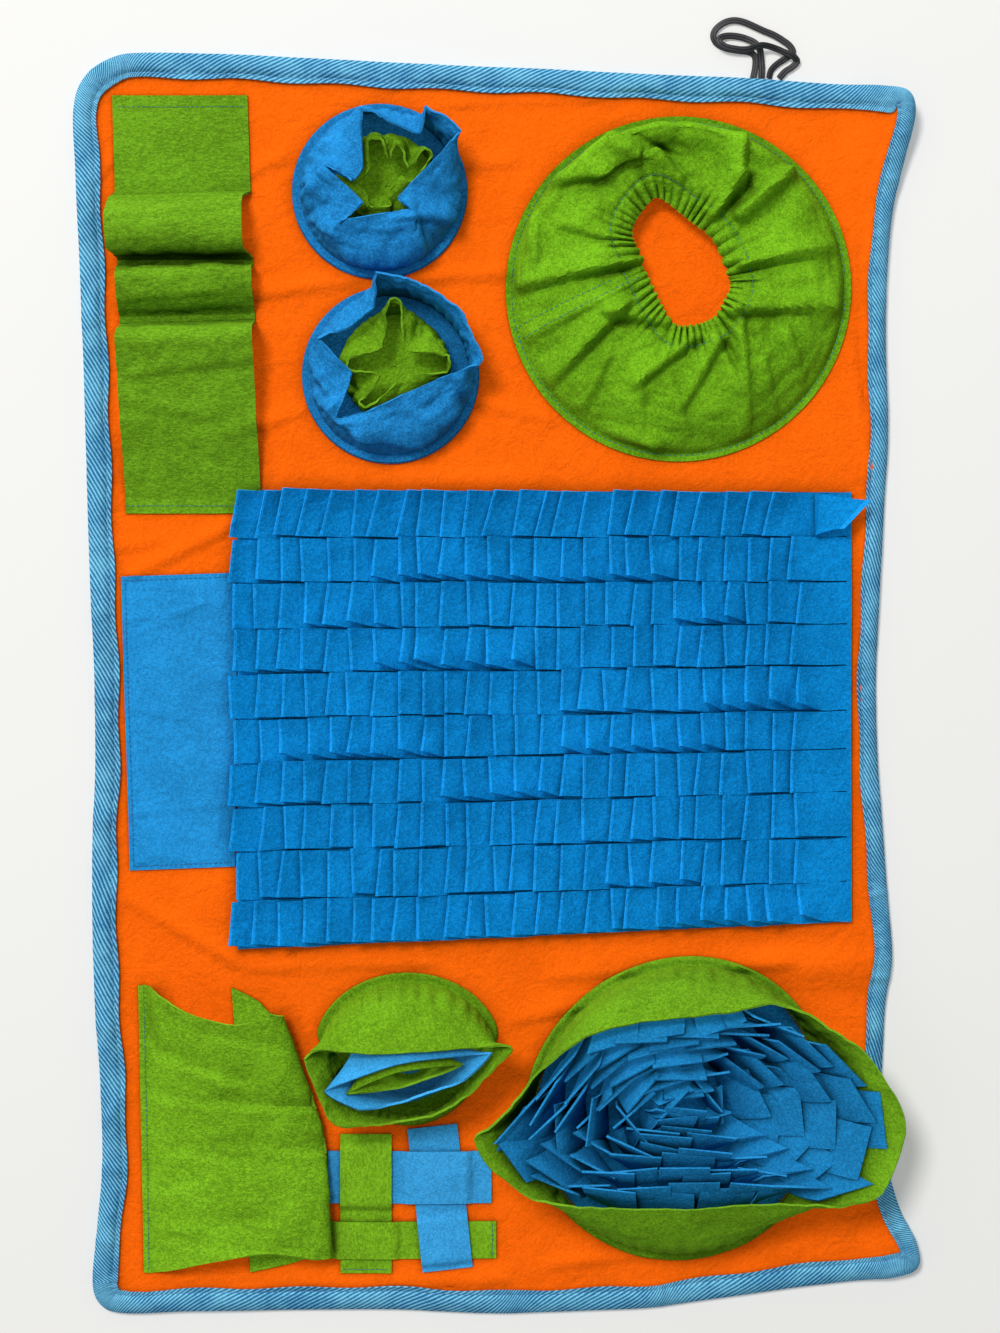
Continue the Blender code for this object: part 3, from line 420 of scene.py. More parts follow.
# Folds of the ring: x and y of both ends, height at both ends, gentle reach on the left of the line,
# steep reach on its right
RING_FOLDS = (
    (0.0112, 0.2082, 0.0716, 0.2213, 0.0047, 0.0088, 0.0170, 0.0030),
    (0.0277, 0.1589, 0.0606, 0.1931, 0.0031, 0.0083, 0.0150, 0.0030),
    (0.0606, 0.1931, 0.0839, 0.1897, 0.0077, 0.0041, 0.0120, 0.0030),
    (0.1333, 0.2199, 0.1676, 0.2268, 0.0077, 0.0041, 0.0170, 0.0030),
    (0.1264, 0.1945, 0.1731, 0.1973, 0.0077, 0.0047, 0.0160, 0.0030),
    (0.1141, 0.2466, 0.1264, 0.2631, 0.0077, 0.0093, 0.0110, 0.0030),
    (0.1264, 0.2631, 0.1271, 0.2878, 0.0093, 0.0041, 0.0120, 0.0030),
    (0.1264, 0.2453, 0.1573, 0.2741, 0.0080, 0.0052, 0.0060, 0.0060),
    (0.0826, 0.2755, 0.0675, 0.2816, 0.0062, 0.0051, 0.0130, 0.0030),
    (0.0935, 0.2645, 0.0826, 0.2755, 0.0041, 0.0062, 0.0130, 0.0030),
    (0.0675, 0.2816, 0.0455, 0.2851, 0.0051, 0.0031, 0.0120, 0.0030),
    (0.0737, 0.1288, 0.0737, 0.1563, 0.0019, 0.0023, 0.0080, 0.0030),
    (0.0758, 0.1604, 0.0978, 0.1769, 0.0047, 0.0057, 0.0130, 0.0030),
    (0.0971, 0.1481, 0.1143, 0.1769, 0.0029, 0.0051, 0.0110, 0.0030),
    (0.1246, 0.1563, 0.1143, 0.1769, 0.0033, 0.0041, 0.0090, 0.0030),
    (0.1308, 0.1275, 0.1259, 0.1907, 0.0023, 0.0049, 0.0090, 0.0030),
    (0.1624, 0.1495, 0.1500, 0.1811, 0.0023, 0.0037, 0.0090, 0.0030),
    (0.0621, 0.1302, 0.0799, 0.1268, 0.0037, 0.0043, 0.0080, 0.0030),
    (0.0799, 0.1268, 0.1047, 0.1206, 0.0043, 0.0016, 0.0080, 0.0030),
    (0.0195, 0.2236, 0.0174, 0.2470, 0.0037, 0.0035, 0.0070, 0.0030),
    (0.0236, 0.2607, 0.0524, 0.2676, 0.0041, 0.0057, 0.0130, 0.0030),
    (0.0524, 0.2676, 0.0662, 0.2786, 0.0051, 0.0036, 0.0110, 0.0030),
    (0.0071, 0.1776, 0.0760, 0.2125, 0.0021, 0.0023, 0.0085, 0.0030),
    (0.0330, 0.2400, 0.0560, 0.2330, 0.0021, 0.0031, 0.0080, 0.0030),
    (0.0450, 0.1480, 0.0560, 0.1700, 0.0021, 0.0019, 0.0080, 0.0030),
    (0.0980, 0.1330, 0.0900, 0.1560, 0.0023, 0.0027, 0.0080, 0.0030),
    (0.1460, 0.1370, 0.1380, 0.1650, 0.0023, 0.0027, 0.0080, 0.0030),
    (0.1620, 0.2130, 0.1420, 0.2110, 0.0021, 0.0027, 0.0080, 0.0030),
)

# Straight tabs in the pouch, ring by ring from the wall inwards: radius of the roots, share of the way
# to the rim at the tips, tip height, tabs in a layer, how many degrees they turn out of line, how far
# the tabs at both ends reach for the rim, and how far those on the right lie flat
MOUTH_CENTRE = (0.0970, -0.2190)
PETAL_RINGS = (
    (0.0630, 0.82, 0.0430, 15, 9, 1, 0),
    (0.0515, 0.66, 0.0410, 13, 10, 0.35, 0.6),
    (0.0400, 0.49, 0.0370, 10, 13, 0, 1),
    (0.0290, 0.31, 0.0330, 7, 9, 0, 1),
    (0.0190, 0.11, 0.0300, 6, 9, 0, 0.6),
)
PETAL_BAND = 0.0740
PETAL_LAYER_STEP = 0.0040
PETAL_END_REACH = 0.08
PETAL_FLAT_REACH = 0.13
PETAL_FLAT_DROP = 0.010

# Elastic hanging loop: two cords of a flat elastic. A level counts the cords beneath.
CORD_RADIUS = 0.0012
CORD_FLOOR = CORD_RADIUS + 0.0001
CORD_STACK = 2 * CORD_RADIUS + GAP
ELASTIC_WIDTH = 0.0035
ELASTIC_DEPTH = 0.0013
ELASTIC_GIRTH = 0.009
CORD_STEPS = 8
CORD_SIDES = 16
# How the flat elastic leans at its start: each band's tilt in radians, and how far it rocks on its way
OUTER_TILT = 0.25
INNER_TILT = -0.2
ELASTIC_ROCK = 0.5
OUTER_CORD = (
    # x, y, level
    (0.1340, 0.3202, 0), (0.1350, 0.3250, 0), (0.1353, 0.3295, 0), (0.1344, 0.3325, 0),
    (0.1318, 0.3340, 0), (0.1280, 0.3345, 0), (0.1237, 0.3351, 0), (0.1190, 0.3362, 0),
    (0.1151, 0.3384, 0), (0.1131, 0.3414, 0), (0.1134, 0.3446, 0), (0.1158, 0.3476, 0),
    (0.1198, 0.3500, 0), (0.1244, 0.3508, 0), (0.1293, 0.3498, 0), (0.1341, 0.3478, 0),
    (0.1393, 0.3454, 0), (0.1448, 0.3431, 0), (0.1497, 0.3402, 0), (0.1535, 0.3372, 0),
    (0.1550, 0.3338, 0), (0.1518, 0.3310, 0), (0.1472, 0.3280, 0), (0.1436, 0.3244, 0),
    (0.1424, 0.3199, 0),
)
INNER_CORD = (
    # x, y, level
    (0.1384, 0.3200, 0), (0.1386, 0.3245, 0), (0.1384, 0.3285, 0), (0.1380, 0.3320, 0.3),
    (0.1371, 0.3354, 1), (0.1345, 0.3387, 0.6), (0.1302, 0.3411, 0), (0.1250, 0.3424, 0),
    (0.1200, 0.3425, 0.1), (0.1166, 0.3412, 0.5), (0.1160, 0.3385, 1), (0.1192, 0.3362, 1),
    (0.1237, 0.3352, 1), (0.1280, 0.3347, 1), (0.1318, 0.3349, 1.3), (0.1352, 0.3358, 2),
    (0.1385, 0.3364, 2), (0.1426, 0.3362, 1.2), (0.1468, 0.3350, 0.8), (0.1505, 0.3332, 1),
    (0.1545, 0.3315, 1), (0.1572, 0.3290, 0.2), (0.1548, 0.3262, 0), (0.1508, 0.3235, 0),
    (0.1478, 0.3200, 0),
)
OUTER_LENGTH = 0.109
INNER_LENGTH = 0.103

# Thread: height from which it is dropped onto the cloth, distance between the stitches' middles, their
# length and thickness, and how deep they sink in
DROP_HEIGHT = 0.12
PITCH = 0.0030
CLOSE_PITCH = 0.0026
CLOSEST_PITCH = 0.0024
STITCH = 0.0022
THREAD = 0.00042
SUNK = 0.00005
# The binding's stitches as a share of its width, and the loop strip's end seams: y
TAPE_STITCHES = 0.82
LOOP_SEAMS = (0.3045, 0.0936)
# Seams across the ring, along the flap's left side and at two ends of the straps, and the ring's outer
# seam inside its edge
RING_SEAMS = (
    ((0.0080, 0.1872), (0.0586, 0.2106)),
    ((0.0076, 0.1792), (0.0740, 0.2128)),
)
RING_SEAM_INSET = 0.0030
FLAP_SIDE_SEAM = ((-0.1885, -0.1610), (-0.1866, -0.2360), (-0.1856, -0.3100))
STRAP_SEAMS = (
    ((-0.0040, -0.2870), (-0.0040, -0.3020)),
    ((-0.0820, -0.3100), (-0.0600, -0.3100)),
)

# Camera straight above the mat, and the studio
CAMERA_PLACE = (0, 0.0087, 1.3737)
CAMERA_LENS = 70
SENSOR_HEIGHT = 36
KEY_PLACE = (-1.75, 2.2, 5.2)
KEY_SIZE = 1.7
KEY_POWER = 212
RAKE_PLACE = (-1.8, 4.4, 2.3)
RAKE_SIZE = 1.2
RAKE_POWER = 168
FILL_STRENGTH = 0.33
FLOOR_SIZE = 6
FLOOR_GREY = (0.80, 0.80, 0.79, 1)
FILL_TINT = (0.96, 0.98, 1.0, 1)
LAMP_TINT = (1, 0.985, 0.96)
FLOOR_LEVEL = -0.0003


# --- geometry of the cloth -----------------------------------------------------------------------


def mix(a, b, share):
    return a + (b - a) * share


def ease(share):
    """A smooth step from 0 to 1."""
    share = min(max(share, 0), 1)
    return share * share * (3 - 2 * share)


def steps(count):
    return [step / count for step in range(count + 1)]


def catmull(before, start, end, after, share):
    """One coordinate of a Catmull-Rom curve between start and end."""
    rise = (end - before) / 2
    fall = (after - start) / 2
    curve = start - end
    return (
        start
        + rise * share
        + (-3 * curve - 2 * rise - fall) * share**2
        + (2 * curve + rise + fall) * share**3
    )


def closed_point(rows, place, crisp=0):
    """The point at a fractional row of a closed table, crisp being how far it keeps to straight runs."""
    count = len(rows)
    first = math.floor(place)
    share = place - first
    four = [rows[(first + step) % count] for step in (-1, 0, 1, 2)]
    curved = [catmull(*values, share) for values in zip(*four)]
    if not crisp:
        return tuple(curved)
    straight = [mix(a, b, share) for a, b in zip(four[1], four[2])]
    return tuple(mix(a, b, crisp) for a, b in zip(curved, straight))


def open_point(rows, place):
    """The same on an open table, whose end rows are repeated."""
    last = len(rows) - 1
    first = min(math.floor(place), last - 1)
    four = [rows[min(max(first + step, 0), last)] for step in (-1, 0, 1, 2)]
    return tuple(catmull(*values, place - first) for values in zip(*four))


def profile_point(rows, share):
    """The second column of a table at a value of its first, on straight runs."""
    for (a, low), (b, high) in zip(rows, rows[1:]):
        if share <= b:
            return mix(low, high, (share - a) / (b - a))
    return rows[-1][1]


def bell(off, reach):
    """A smooth hump of height 1 that ends at that reach."""
    return (1 + math.cos(math.pi * off / reach)) / 2 if abs(off) < reach else 0


def fold_height(x, y, folds):
    """Height of a table of folds at a point: gentle on the left of each line, steep on its right.

    The gentle side rises to a crisp crest, and a shallow groove lies beyond the steep side.
    """
    total = 0
    for x0, y0, x1, y1, start, end, gentle, steep in folds:
        run_x, run_y = x1 - x0, y1 - y0
        run = math.hypot(run_x, run_y)
        off = ((y - y0) * run_x - (x - x0) * run_y) / run
        if off >= gentle or off <= -2.3 * steep:
            continue
        along = ((x - x0) * run_x + (y - y0) * run_y) / run**2
        spill = gentle / run
        if -spill < along < 1 + spill:
            fade = bell(max(-along, along - 1, 0), spill)
            if off > 0:
                slope = mix(bell(off, gentle), (1 - off / gentle) ** 1.5, 0.6)
            else:
                slope = bell(off, steep) - 0.2 * bell(off + 1.5 * steep, 0.8 * steep)
            total += mix(start, end, min(max(along, 0), 1)) * fade * slope
    return total


def crumple(x, y, z, size, depth):
    """Small creases, as valleys between rounded facets."""
    return depth * (noise.turbulence(Vector((x, y, z)) / size, 3, True) - 0.55)


def swell(x, y):
    """How far the mat stands off the floor there."""
    height = 0
    for middle_x, middle_y, reach_x, reach_y, top in SWELLS:
        off = math.hypot((x - middle_x) / reach_x, (y - middle_y) / reach_y)
        height += top * bell(off, 1)
    height += WAVE_DEPTH * max(noise.noise(Vector((x, y, 0.4)) / WAVE_SIZE), 0)
    return height + max(fold_height(x, y, GROUND_CREASES), 0)


def sheet(name, finish, columns, rows, place, thickness=FELT, welded=False, keep=None, relief=None,
          highlight_from=None, soften=0):
    """A sheet about the surface place(column, row), over two lists of parameters.

    welded joins the last column to the first, keep(column index, row index) says which faces stay,
    relief(column, row, point) is a height along the normal, faces from the column highlight_from on
    show the paler cut-edge felt as a painted highlight, and soften is how often the points are evened
    out. The sheet follows the swell of the mat, and its UV map holds the two parameters.
    """
    mesh = bmesh.new()
    across, along = len(columns) - 1, len(rows) - 1
    bmesh.ops.create_grid(mesh, x_segments=across, y_segments=along, size=0.5)
    if keep is not None:
        drop_faces(mesh, keep, across, along)
    places = {}
    for vertex in mesh.verts:
        column = round((vertex.co.x + 0.5) * across)
        row = round((vertex.co.y + 0.5) * along)
        places[vertex] = (columns[column], rows[row])
    cloth_map = mesh.loops.layers.uv.new("Cloth")
    for face in mesh.faces:
        for corner in face.loops:
            corner[cloth_map].uv = places[corner.vert]
        if highlight_from is not None:
            face.material_index = int(min(places[vertex][0] for vertex in face.verts) >= highlight_from)
    for vertex, (column, row) in places.items():
        vertex.co = place(column, row)
    if welded:
        bmesh.ops.remove_doubles(mesh, verts=mesh.verts, dist=1e-6)
    if relief is not None:
        raise_relief(mesh, places, relief)
    inner = [vertex for vertex in mesh.verts if not vertex.is_boundary]
    for _ in range(soften):
        bmesh.ops.smooth_vert(
            mesh, verts=inner, factor=0.5, use_axis_x=True, use_axis_y=True, use_axis_z=True
        )
    for vertex in mesh.verts:
        vertex.co.z += swell(vertex.co.x, vertex.co.y)
    return cloth(name, finish, mesh, thickness)


def drop_faces(mesh, keep, across, along):
    """Take out the faces of a unit grid that keep(column index, row index) doesn't want."""
    centres = {face: face.calc_center_median() for face in mesh.faces}
    dropped = [
        face
        for face, centre in centres.items()
        if not keep(int((centre.x + 0.5) * across), int((centre.y + 0.5) * along))
    ]
    bmesh.ops.delete(mesh, geom=dropped, context="FACES")


def raise_relief(mesh, places, relief):
    """Move each vertex along its normal by relief(column, row, point)."""
    mesh.normal_update()
    moves = [(vertex, vertex.normal * relief(*places[vertex], vertex.co)) for vertex in mesh.verts]
    for vertex, move in moves:
        vertex.co += move


def new_piece(name, mesh, *materials):
    """A piece in the scene with those materials. The mesh is used up."""
    data = bpy.data.meshes.new(name)
    mesh.to_mesh(data)
    mesh.free()
    for material in materials:
        data.materials.append(material)
    piece = bpy.data.objects.new(name, data)
    bpy.context.scene.collection.objects.link(piece)
    return piece


def cloth(name, finish, mesh, thickness=FELT):
    """The piece that a surface becomes when it gets its thickness and its cut edge, whose paler felt is a
    painted highlight.
    """
    slot, *materials = finish
    piece = new_piece(name, mesh, *materials)
    surface = piece.data
    solid = piece.modifiers.new("Thickness", "SOLIDIFY")
    solid.thickness = thickness
    solid.offset = 0
    solid.material_offset_rim = 1
    bpy.context.view_layer.update()
    whole = bpy.data.meshes.new_from_object(piece.evaluated_get(bpy.context.evaluated_depsgraph_get()))
    piece.modifiers.clear()
    piece.data = whole
    bpy.data.meshes.remove(surface)
    whole.name = name
    smooth(whole)
    return piece


def smooth(data):
    """Shade the mesh smooth, with sharp corners where faces meet at more than EDGE_ANGLE."""
    data.polygons.foreach_set("use_smooth", [True] * len(data.polygons))
    data.set_sharp_from_angle(angle=EDGE_ANGLE)
    data.update()


# --- materials -------------------------------------------------------------------------------------


def linear(red, green, blue):
    """A screen colour from 0 to 255 as linear light."""
    values = [channel / 255 for channel in (red, green, blue)]
    return [v / 12.92 if v <= 0.04045 else ((v + 0.055) / 1.055) ** 2.4 for v in values]


class Graph:
    """The node tree of one material, with short ways to add what these finishes need."""

    def __init__(self, name, roughness, specular=0.25):
        self.material = bpy.data.materials.new(name)
        self.material.use_nodes = True
        self.tree = self.material.node_tree
        self.shader = self.tree.nodes["Principled BSDF"]
        self.shader.inputs["Roughness"].default_value = roughness
        self.shader.inputs["Specular IOR Level"].default_value = specular

    def add(self, kind, **settings):
        node = self.tree.nodes.new(kind)
        for key, value in settings.items():
            setattr(node, key, value)
        return node

    def link(self, source, target):
        self.tree.links.new(source, target)

    def place(self, output="Object", scale=(1, 1, 1), turn=0):
        source = self.add("ShaderNodeTexCoord")
        mapping = self.add("ShaderNodeMapping")
        mapping.inputs["Scale"].default_value = scale
        mapping.inputs["Rotation"].default_value = (0, 0, turn)
        self.link(source.outputs[output], mapping.inputs["Vector"])
        return mapping.outputs["Vector"]

    def noise(self, vector, scale, detail=2, roughness=0.5, distortion=0):
        node = self.add("ShaderNodeTexNoise")
        node.inputs["Scale"].default_value = scale
        node.inputs["Detail"].default_value = detail
        node.inputs["Roughness"].default_value = roughness
        node.inputs["Distortion"].default_value = distortion
        self.link(vector, node.inputs["Vector"])
        return node.outputs["Fac"]

    def wave(self, vector, period, distortion=0, detail_scale=1):
        node = self.add("ShaderNodeTexWave")
        node.inputs["Scale"].default_value = math.pi / 10 / period
        node.inputs["Distortion"].default_value = distortion
        node.inputs["Detail Scale"].default_value = detail_scale
        self.link(vector, node.inputs["Vector"])
        return node.outputs["Fac"]

    def sum(self, parts):
        """The weighted sum of some values."""
        total = None
        for value, weight in parts:
            node = self.add("ShaderNodeMath", operation="MULTIPLY_ADD")
            self.link(value, node.inputs[0])
            node.inputs[1].default_value = weight
            if total is None:
                node.inputs[2].default_value = 0
            else:
                self.link(total, node.inputs[2])
            total = node.outputs[0]
        return total

    def ramp(self, value, stops):
        node = self.add("ShaderNodeValToRGB")
        elements = node.color_ramp.elements
        while len(elements) < len(stops):
            elements.new(0.5)
        for element, (position, colour) in zip(elements, stops):
            element.position = position
            element.color = (*colour, 1)
        self.link(value, node.inputs["Fac"])
        return node.outputs["Color"]

    def with_painted_shade(self, colour, distance):
        """The colour with painted shade: darker in hollows and under folds that are nearer than that
        distance.
        """
        node = self.add("ShaderNodeAmbientOcclusion", samples=6)
        node.inputs["Distance"].default_value = distance
        self.link(colour, node.inputs["Color"])
        return node.outputs["Color"]

    def colour(self, output):
        self.link(output, self.shader.inputs["Base Color"])

    def bump(self, height, distance, strength):
        node = self.add("ShaderNodeBump")
        node.inputs["Distance"].default_value = distance
        node.inputs["Strength"].default_value = strength
        self.link(height, node.inputs["Height"])
        self.link(node.outputs["Normal"], self.shader.inputs["Normal"])


def felt(name, dark, middle, light, stretch, painted_shade_reach):
    """Pressed felt: matted fibre in flecks, broad patches of dye, and small dents from handling.

    stretch draws the flecks out, and painted_shade_reach is how near a fold is whose painted shade darkens
    the felt beside it.
    """
    graph = Graph(name, 1.0, 0.02)
    place = graph.place(scale=stretch)
    patches = graph.noise(place, 34, 2)
    tufts = graph.noise(place, 620, 3, 0.6, 0.6)
    fibres = graph.noise(place, 1500, 2, 0.6, 1.0)
    dents = graph.noise(graph.place(), 105, 3, 0.62, 0.7)
    tone = graph.sum([(patches, 0.17), (tufts, 0.34), (fibres, 0.45), (dents, 0.04)])
    flecks = graph.ramp(tone, [(0.435, dark), (0.5, middle), (0.565, light)])
    # Painted shade: ambient occlusion darkens the colour in folds, hollows and under overhangs.
    graph.colour(graph.with_painted_shade(flecks, painted_shade_reach))
    graph.bump(graph.sum([(tufts, 0.3), (fibres, 0.2), (dents, 1.3)]), 0.0011, 0.75)
    return graph.material


def felt_finish(slot, name, screen, depth=0.72, shine=1.34, stretch=(1, 1, 1), paler=1.18,
                painted_shade_reach=0.012):
    """A felt's face and its cut edge, painted paler as a highlight, from its screen colour in the middle of
    its range.
    """
    middle = linear(*screen)
    dark = [channel * depth for channel in middle]
    light = [min(channel * shine + 0.001, 1) for channel in middle]
    # Painted highlight: the cut edge's felt is paler than the face by the factor paler.
    edge = [min(channel * paler + 0.006, 1) for channel in middle]
    face = felt(name, dark, middle, light, stretch, painted_shade_reach)
    palest = [min(channel * 1.15, 1) for channel in edge]
    cut = felt(name + "_cut", middle, edge, palest, stretch, painted_shade_reach)
    return slot, face, cut


def twill_finish():
    """Bias tape: fine diagonal twill, rubbed paler on its ribs."""
    graph = Graph("tape_twill", 0.85, 0.3)
    place = graph.place()
    diagonal = graph.wave(graph.place("UV", turn=math.radians(-52)), 0.00165, 1.8, 300)
    yarn = graph.noise(place, 1300, 2, 0.6)
    wear = graph.noise(place, 75, 3, 0.6)
    tone = graph.sum([(diagonal, 0.34), (yarn, 0.30), (wear, 0.36)])
    graph.colour(graph.ramp(tone, [
        (0.34, linear(22, 88, 140)), (0.50, linear(62, 146, 190)), (0.66, linear(128, 202, 230)),
    ]))
    graph.bump(graph.sum([(diagonal, 0.7), (yarn, 0.3)]), 0.00035, 0.6)
    return "blue_tape", graph.material, graph.material


def elastic_finish():
    """Black elastic, ribbed along its length."""
    graph = Graph("ribbed_elastic", 0.6, 0.4)
    ribs = graph.wave(graph.place("UV"), 0.00075)
    yarn = graph.noise(graph.place(), 1500, 2)
    tone = graph.sum([(ribs, 0.6), (yarn, 0.4)])
    graph.colour(graph.ramp(tone, [(0.3, linear(14, 14, 16)), (0.8, linear(62, 62, 66))]))
    graph.bump(tone, 0.0003, 0.7)
    return "black_elastic", graph.material


def thread_finish(name, slot, screen):
    """Sewing thread, with the twist of its plies."""
    graph = Graph(name, 0.6, 0.35)
    plies = graph.noise(graph.place(), 1800, 2)
    middle = linear(*screen)
    graph.colour(graph.ramp(plies, [
        (0.35, [channel * 0.6 for channel in middle]), (0.65, [min(channel * 1.3, 1) for channel in middle]),
    ]))
    graph.bump(plies, 0.0002, 0.5)
    return slot, graph.material


# The one green felt and the one blue felt take a tone per piece: partly the felts' own tones and partly
# painted light and shade, each tone taking in how lit or shaded that piece lies. The petals' blue is
# darkened as painted shade for the depth of the pouch.
ORANGE = felt_finish("orange_felt", "ground_felt", (249, 101, 9), 0.88, 1.09)
STRIP_GREEN = felt_finish("green_felt", "strip_felt", (99, 148, 27), 0.70, 1.36, (0.5, 1.3, 1))
RING_GREEN = felt_finish("green_felt", "ring_felt", (104, 160, 25), 0.70, 1.36)
POUCH_GREEN = felt_finish("green_felt", "pouch_felt", (101, 150, 26), 0.72, 1.34)
FLAP_GREEN = felt_finish("green_felt", "flap_felt", (109, 161, 28), 0.68, 1.38, (0.7, 1.2, 1))
NEST_GREEN = felt_finish("green_felt", "nest_felt", (101, 150, 24), 0.70, 1.36)
WEAVE_GREEN = felt_finish("green_felt", "weave_felt", (112, 163, 29), 0.74, 1.30, (1.2, 0.6, 1))
CUP_BLUE = felt_finish("blue_felt", "cup_felt", (33, 128, 194), 0.72, 1.32)
# The fringe's and the petals' edges get a stronger painted highlight.
FRINGE_BLUE = felt_finish("blue_felt", "fringe_felt", (9, 126, 197), 0.76, 1.28,
                          paler=1.5, painted_shade_reach=0.004)
PATCH_BLUE = felt_finish("blue_felt", "patch_felt", (33, 137, 203), 0.78, 1.24)
PETAL_BLUE_WITH_PAINTED_SHADE = felt_finish("blue_felt", "petal_felt", (26, 117, 172), 0.76, 1.30,
                         paler=1.35, painted_shade_reach=0.007)
STRAP_BLUE = felt_finish("blue_felt", "strap_felt", (56, 153, 214), 0.80, 1.22)
TAPE_BLUE = twill_finish()
ELASTIC = elastic_finish()
THREAD_TEAL = thread_finish("teal_thread", "green_felt", (52, 128, 128))
THREAD_BLUE = thread_finish("blue_thread", "blue_felt", (40, 104, 160))
THREAD_PALE = thread_finish("pale_thread", "blue_tape", (96, 150, 190))


# --- ground and binding ----------------------------------------------------------------------------


def edge_point(place, inset, height):
    """A point that far inside the mat's outer edge, at a fractional row of its table."""
    x, y = closed_point(MAT_EDGE, place)
    ahead = closed_point(MAT_EDGE, place + 0.5)
    behind = closed_point(MAT_EDGE, place - 0.5)
    run = math.dist(ahead, behind)
    inward = (-(ahead[1] - behind[1]) / run, (ahead[0] - behind[0]) / run)
    return (x + inward[0] * inset, y + inward[1] * inset, height)


def tape_width(place):
    """The width of the binding on the face, which differs from side to side of the mat."""
    x, y, _ = edge_point(place, 1, 0)
    at_x, at_y = closed_point(MAT_EDGE, place)
    inward_x, inward_y = x - at_x, y - at_y
    sides = (
        (TAPE_WIDTH["right"], max(-inward_x, 0)),
        (TAPE_WIDTH["left"], max(inward_x, 0)),
        (TAPE_WIDTH["top"], max(-inward_y, 0)),
        (TAPE_WIDTH["bottom"], max(inward_y, 0)),
    )
    return sum(width * share**2 for width, share in sides)


def edge_run(first, last, inset, count=240):
    """Points evenly spaced along the outline between two rows of its table."""
    fine = [edge_point(mix(first, last, share), inset, 0)[:2] for share in steps(count * 4)]
    lengths = [0]
    for a, b in zip(fine, fine[1:]):
        lengths.append(lengths[-1] + math.dist(a, b))
    points = []
    at = 0
    for share in steps(count):
        wanted = share * lengths[-1]
        while at < len(fine) - 2 and lengths[at + 1] < wanted:
            at += 1
        part = (wanted - lengths[at]) / max(lengths[at + 1] - lengths[at], 1e-9)
        points.append((mix(fine[at][0], fine[at + 1][0], part), mix(fine[at][1], fine[at + 1][1], part)))
    return points


def run_point(points, share):
    """The point at a share of a run of points."""
    at = min(share * (len(points) - 1), len(points) - 1.000001)
    first = int(at)
    return tuple(mix(a, b, at - first) for a, b in zip(points[first], points[first + 1]))


def make_ground():
    """The felt ground: a patch between the four sides of the outline, with its rim lifted by the tape."""
    lower_left, lower_right, upper_right, upper_left = CORNER_ROWS
    whole = len(MAT_EDGE)
    bottom = edge_run(lower_left, lower_right, GROUND_INSET)
    right = edge_run(lower_right, upper_right, GROUND_INSET)
    top = edge_run(upper_right, upper_left, GROUND_INSET)[::-1]
    left = edge_run(upper_left, lower_left + whole, GROUND_INSET)[::-1]
    width, height = GROUND_SIZE
    rim = (TAPE_WIDTH["top"] + TAPE_WIDTH["right"]) / 2 - GROUND_INSET

    def shares(size, count):
        """Shares of one side, with two close steps where the ground comes off the tape."""
        near = [0] + [(rim + step) / size for step in RIM_STEPS]
        inner = [mix(near[-1], 1 - near[-1], share) for share in steps(count)]
        return near[:-1] + inner + [1 - share for share in near[-2::-1]]

    def place(across, up):
        south, north = run_point(bottom, across), run_point(top, across)
        west, east = run_point(left, up), run_point(right, up)
        flat = [
            mix(south[k], north[k], up)
            + mix(west[k], east[k], across)
            - mix(mix(bottom[0][k], bottom[-1][k], across), mix(top[0][k], top[-1][k], across), up)
            for k in (0, 1)
        ]
        inside = min(across * width, (1 - across) * width, up * height, (1 - up) * height)
        rise = 1 - ease((inside - rim + RIM_SLOPE_START) / RIM_SLOPE)
        return (*flat, mix(GROUND_LEVEL, GROUND_RIM_LEVEL, rise))

    def relief(across, up, point):
        return max(crumple(point.x, point.y, 0.3, *GROUND_WRINKLE), -0.0002) + 0.0002

    ground = sheet(
        "ground_felt", ORANGE, shares(width, GROUND_CELLS[0]), shares(height, GROUND_CELLS[1]), place,
        thickness=GROUND_FELT, relief=relief,
    )
    own(ground, "ground")


def own(piece, *nodes):
    """The piece rides on the mat and stands for these nodes."""
    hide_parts(*nodes)
    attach(piece, "root")


def outline_lengths(places):
    """How far along the outline each of those fractional rows of its table lies."""
    lengths = {places[0]: 0}
    for before, after in zip(places, places[1:]):
        run = math.dist(closed_point(MAT_EDGE, before), closed_point(MAT_EDGE, after))
        lengths[after] = lengths[before] + run
    return lengths


def kink_depth(row):
    """How deep the binding is kinked at a fractional row of the outline's table."""
    whole = len(MAT_EDGE)
    return sum(
        depth * bell((row - at + whole / 2) % whole - whole / 2, 0.10 + 25 * depth)
        for at, depth in TAPE_KINKS
    )


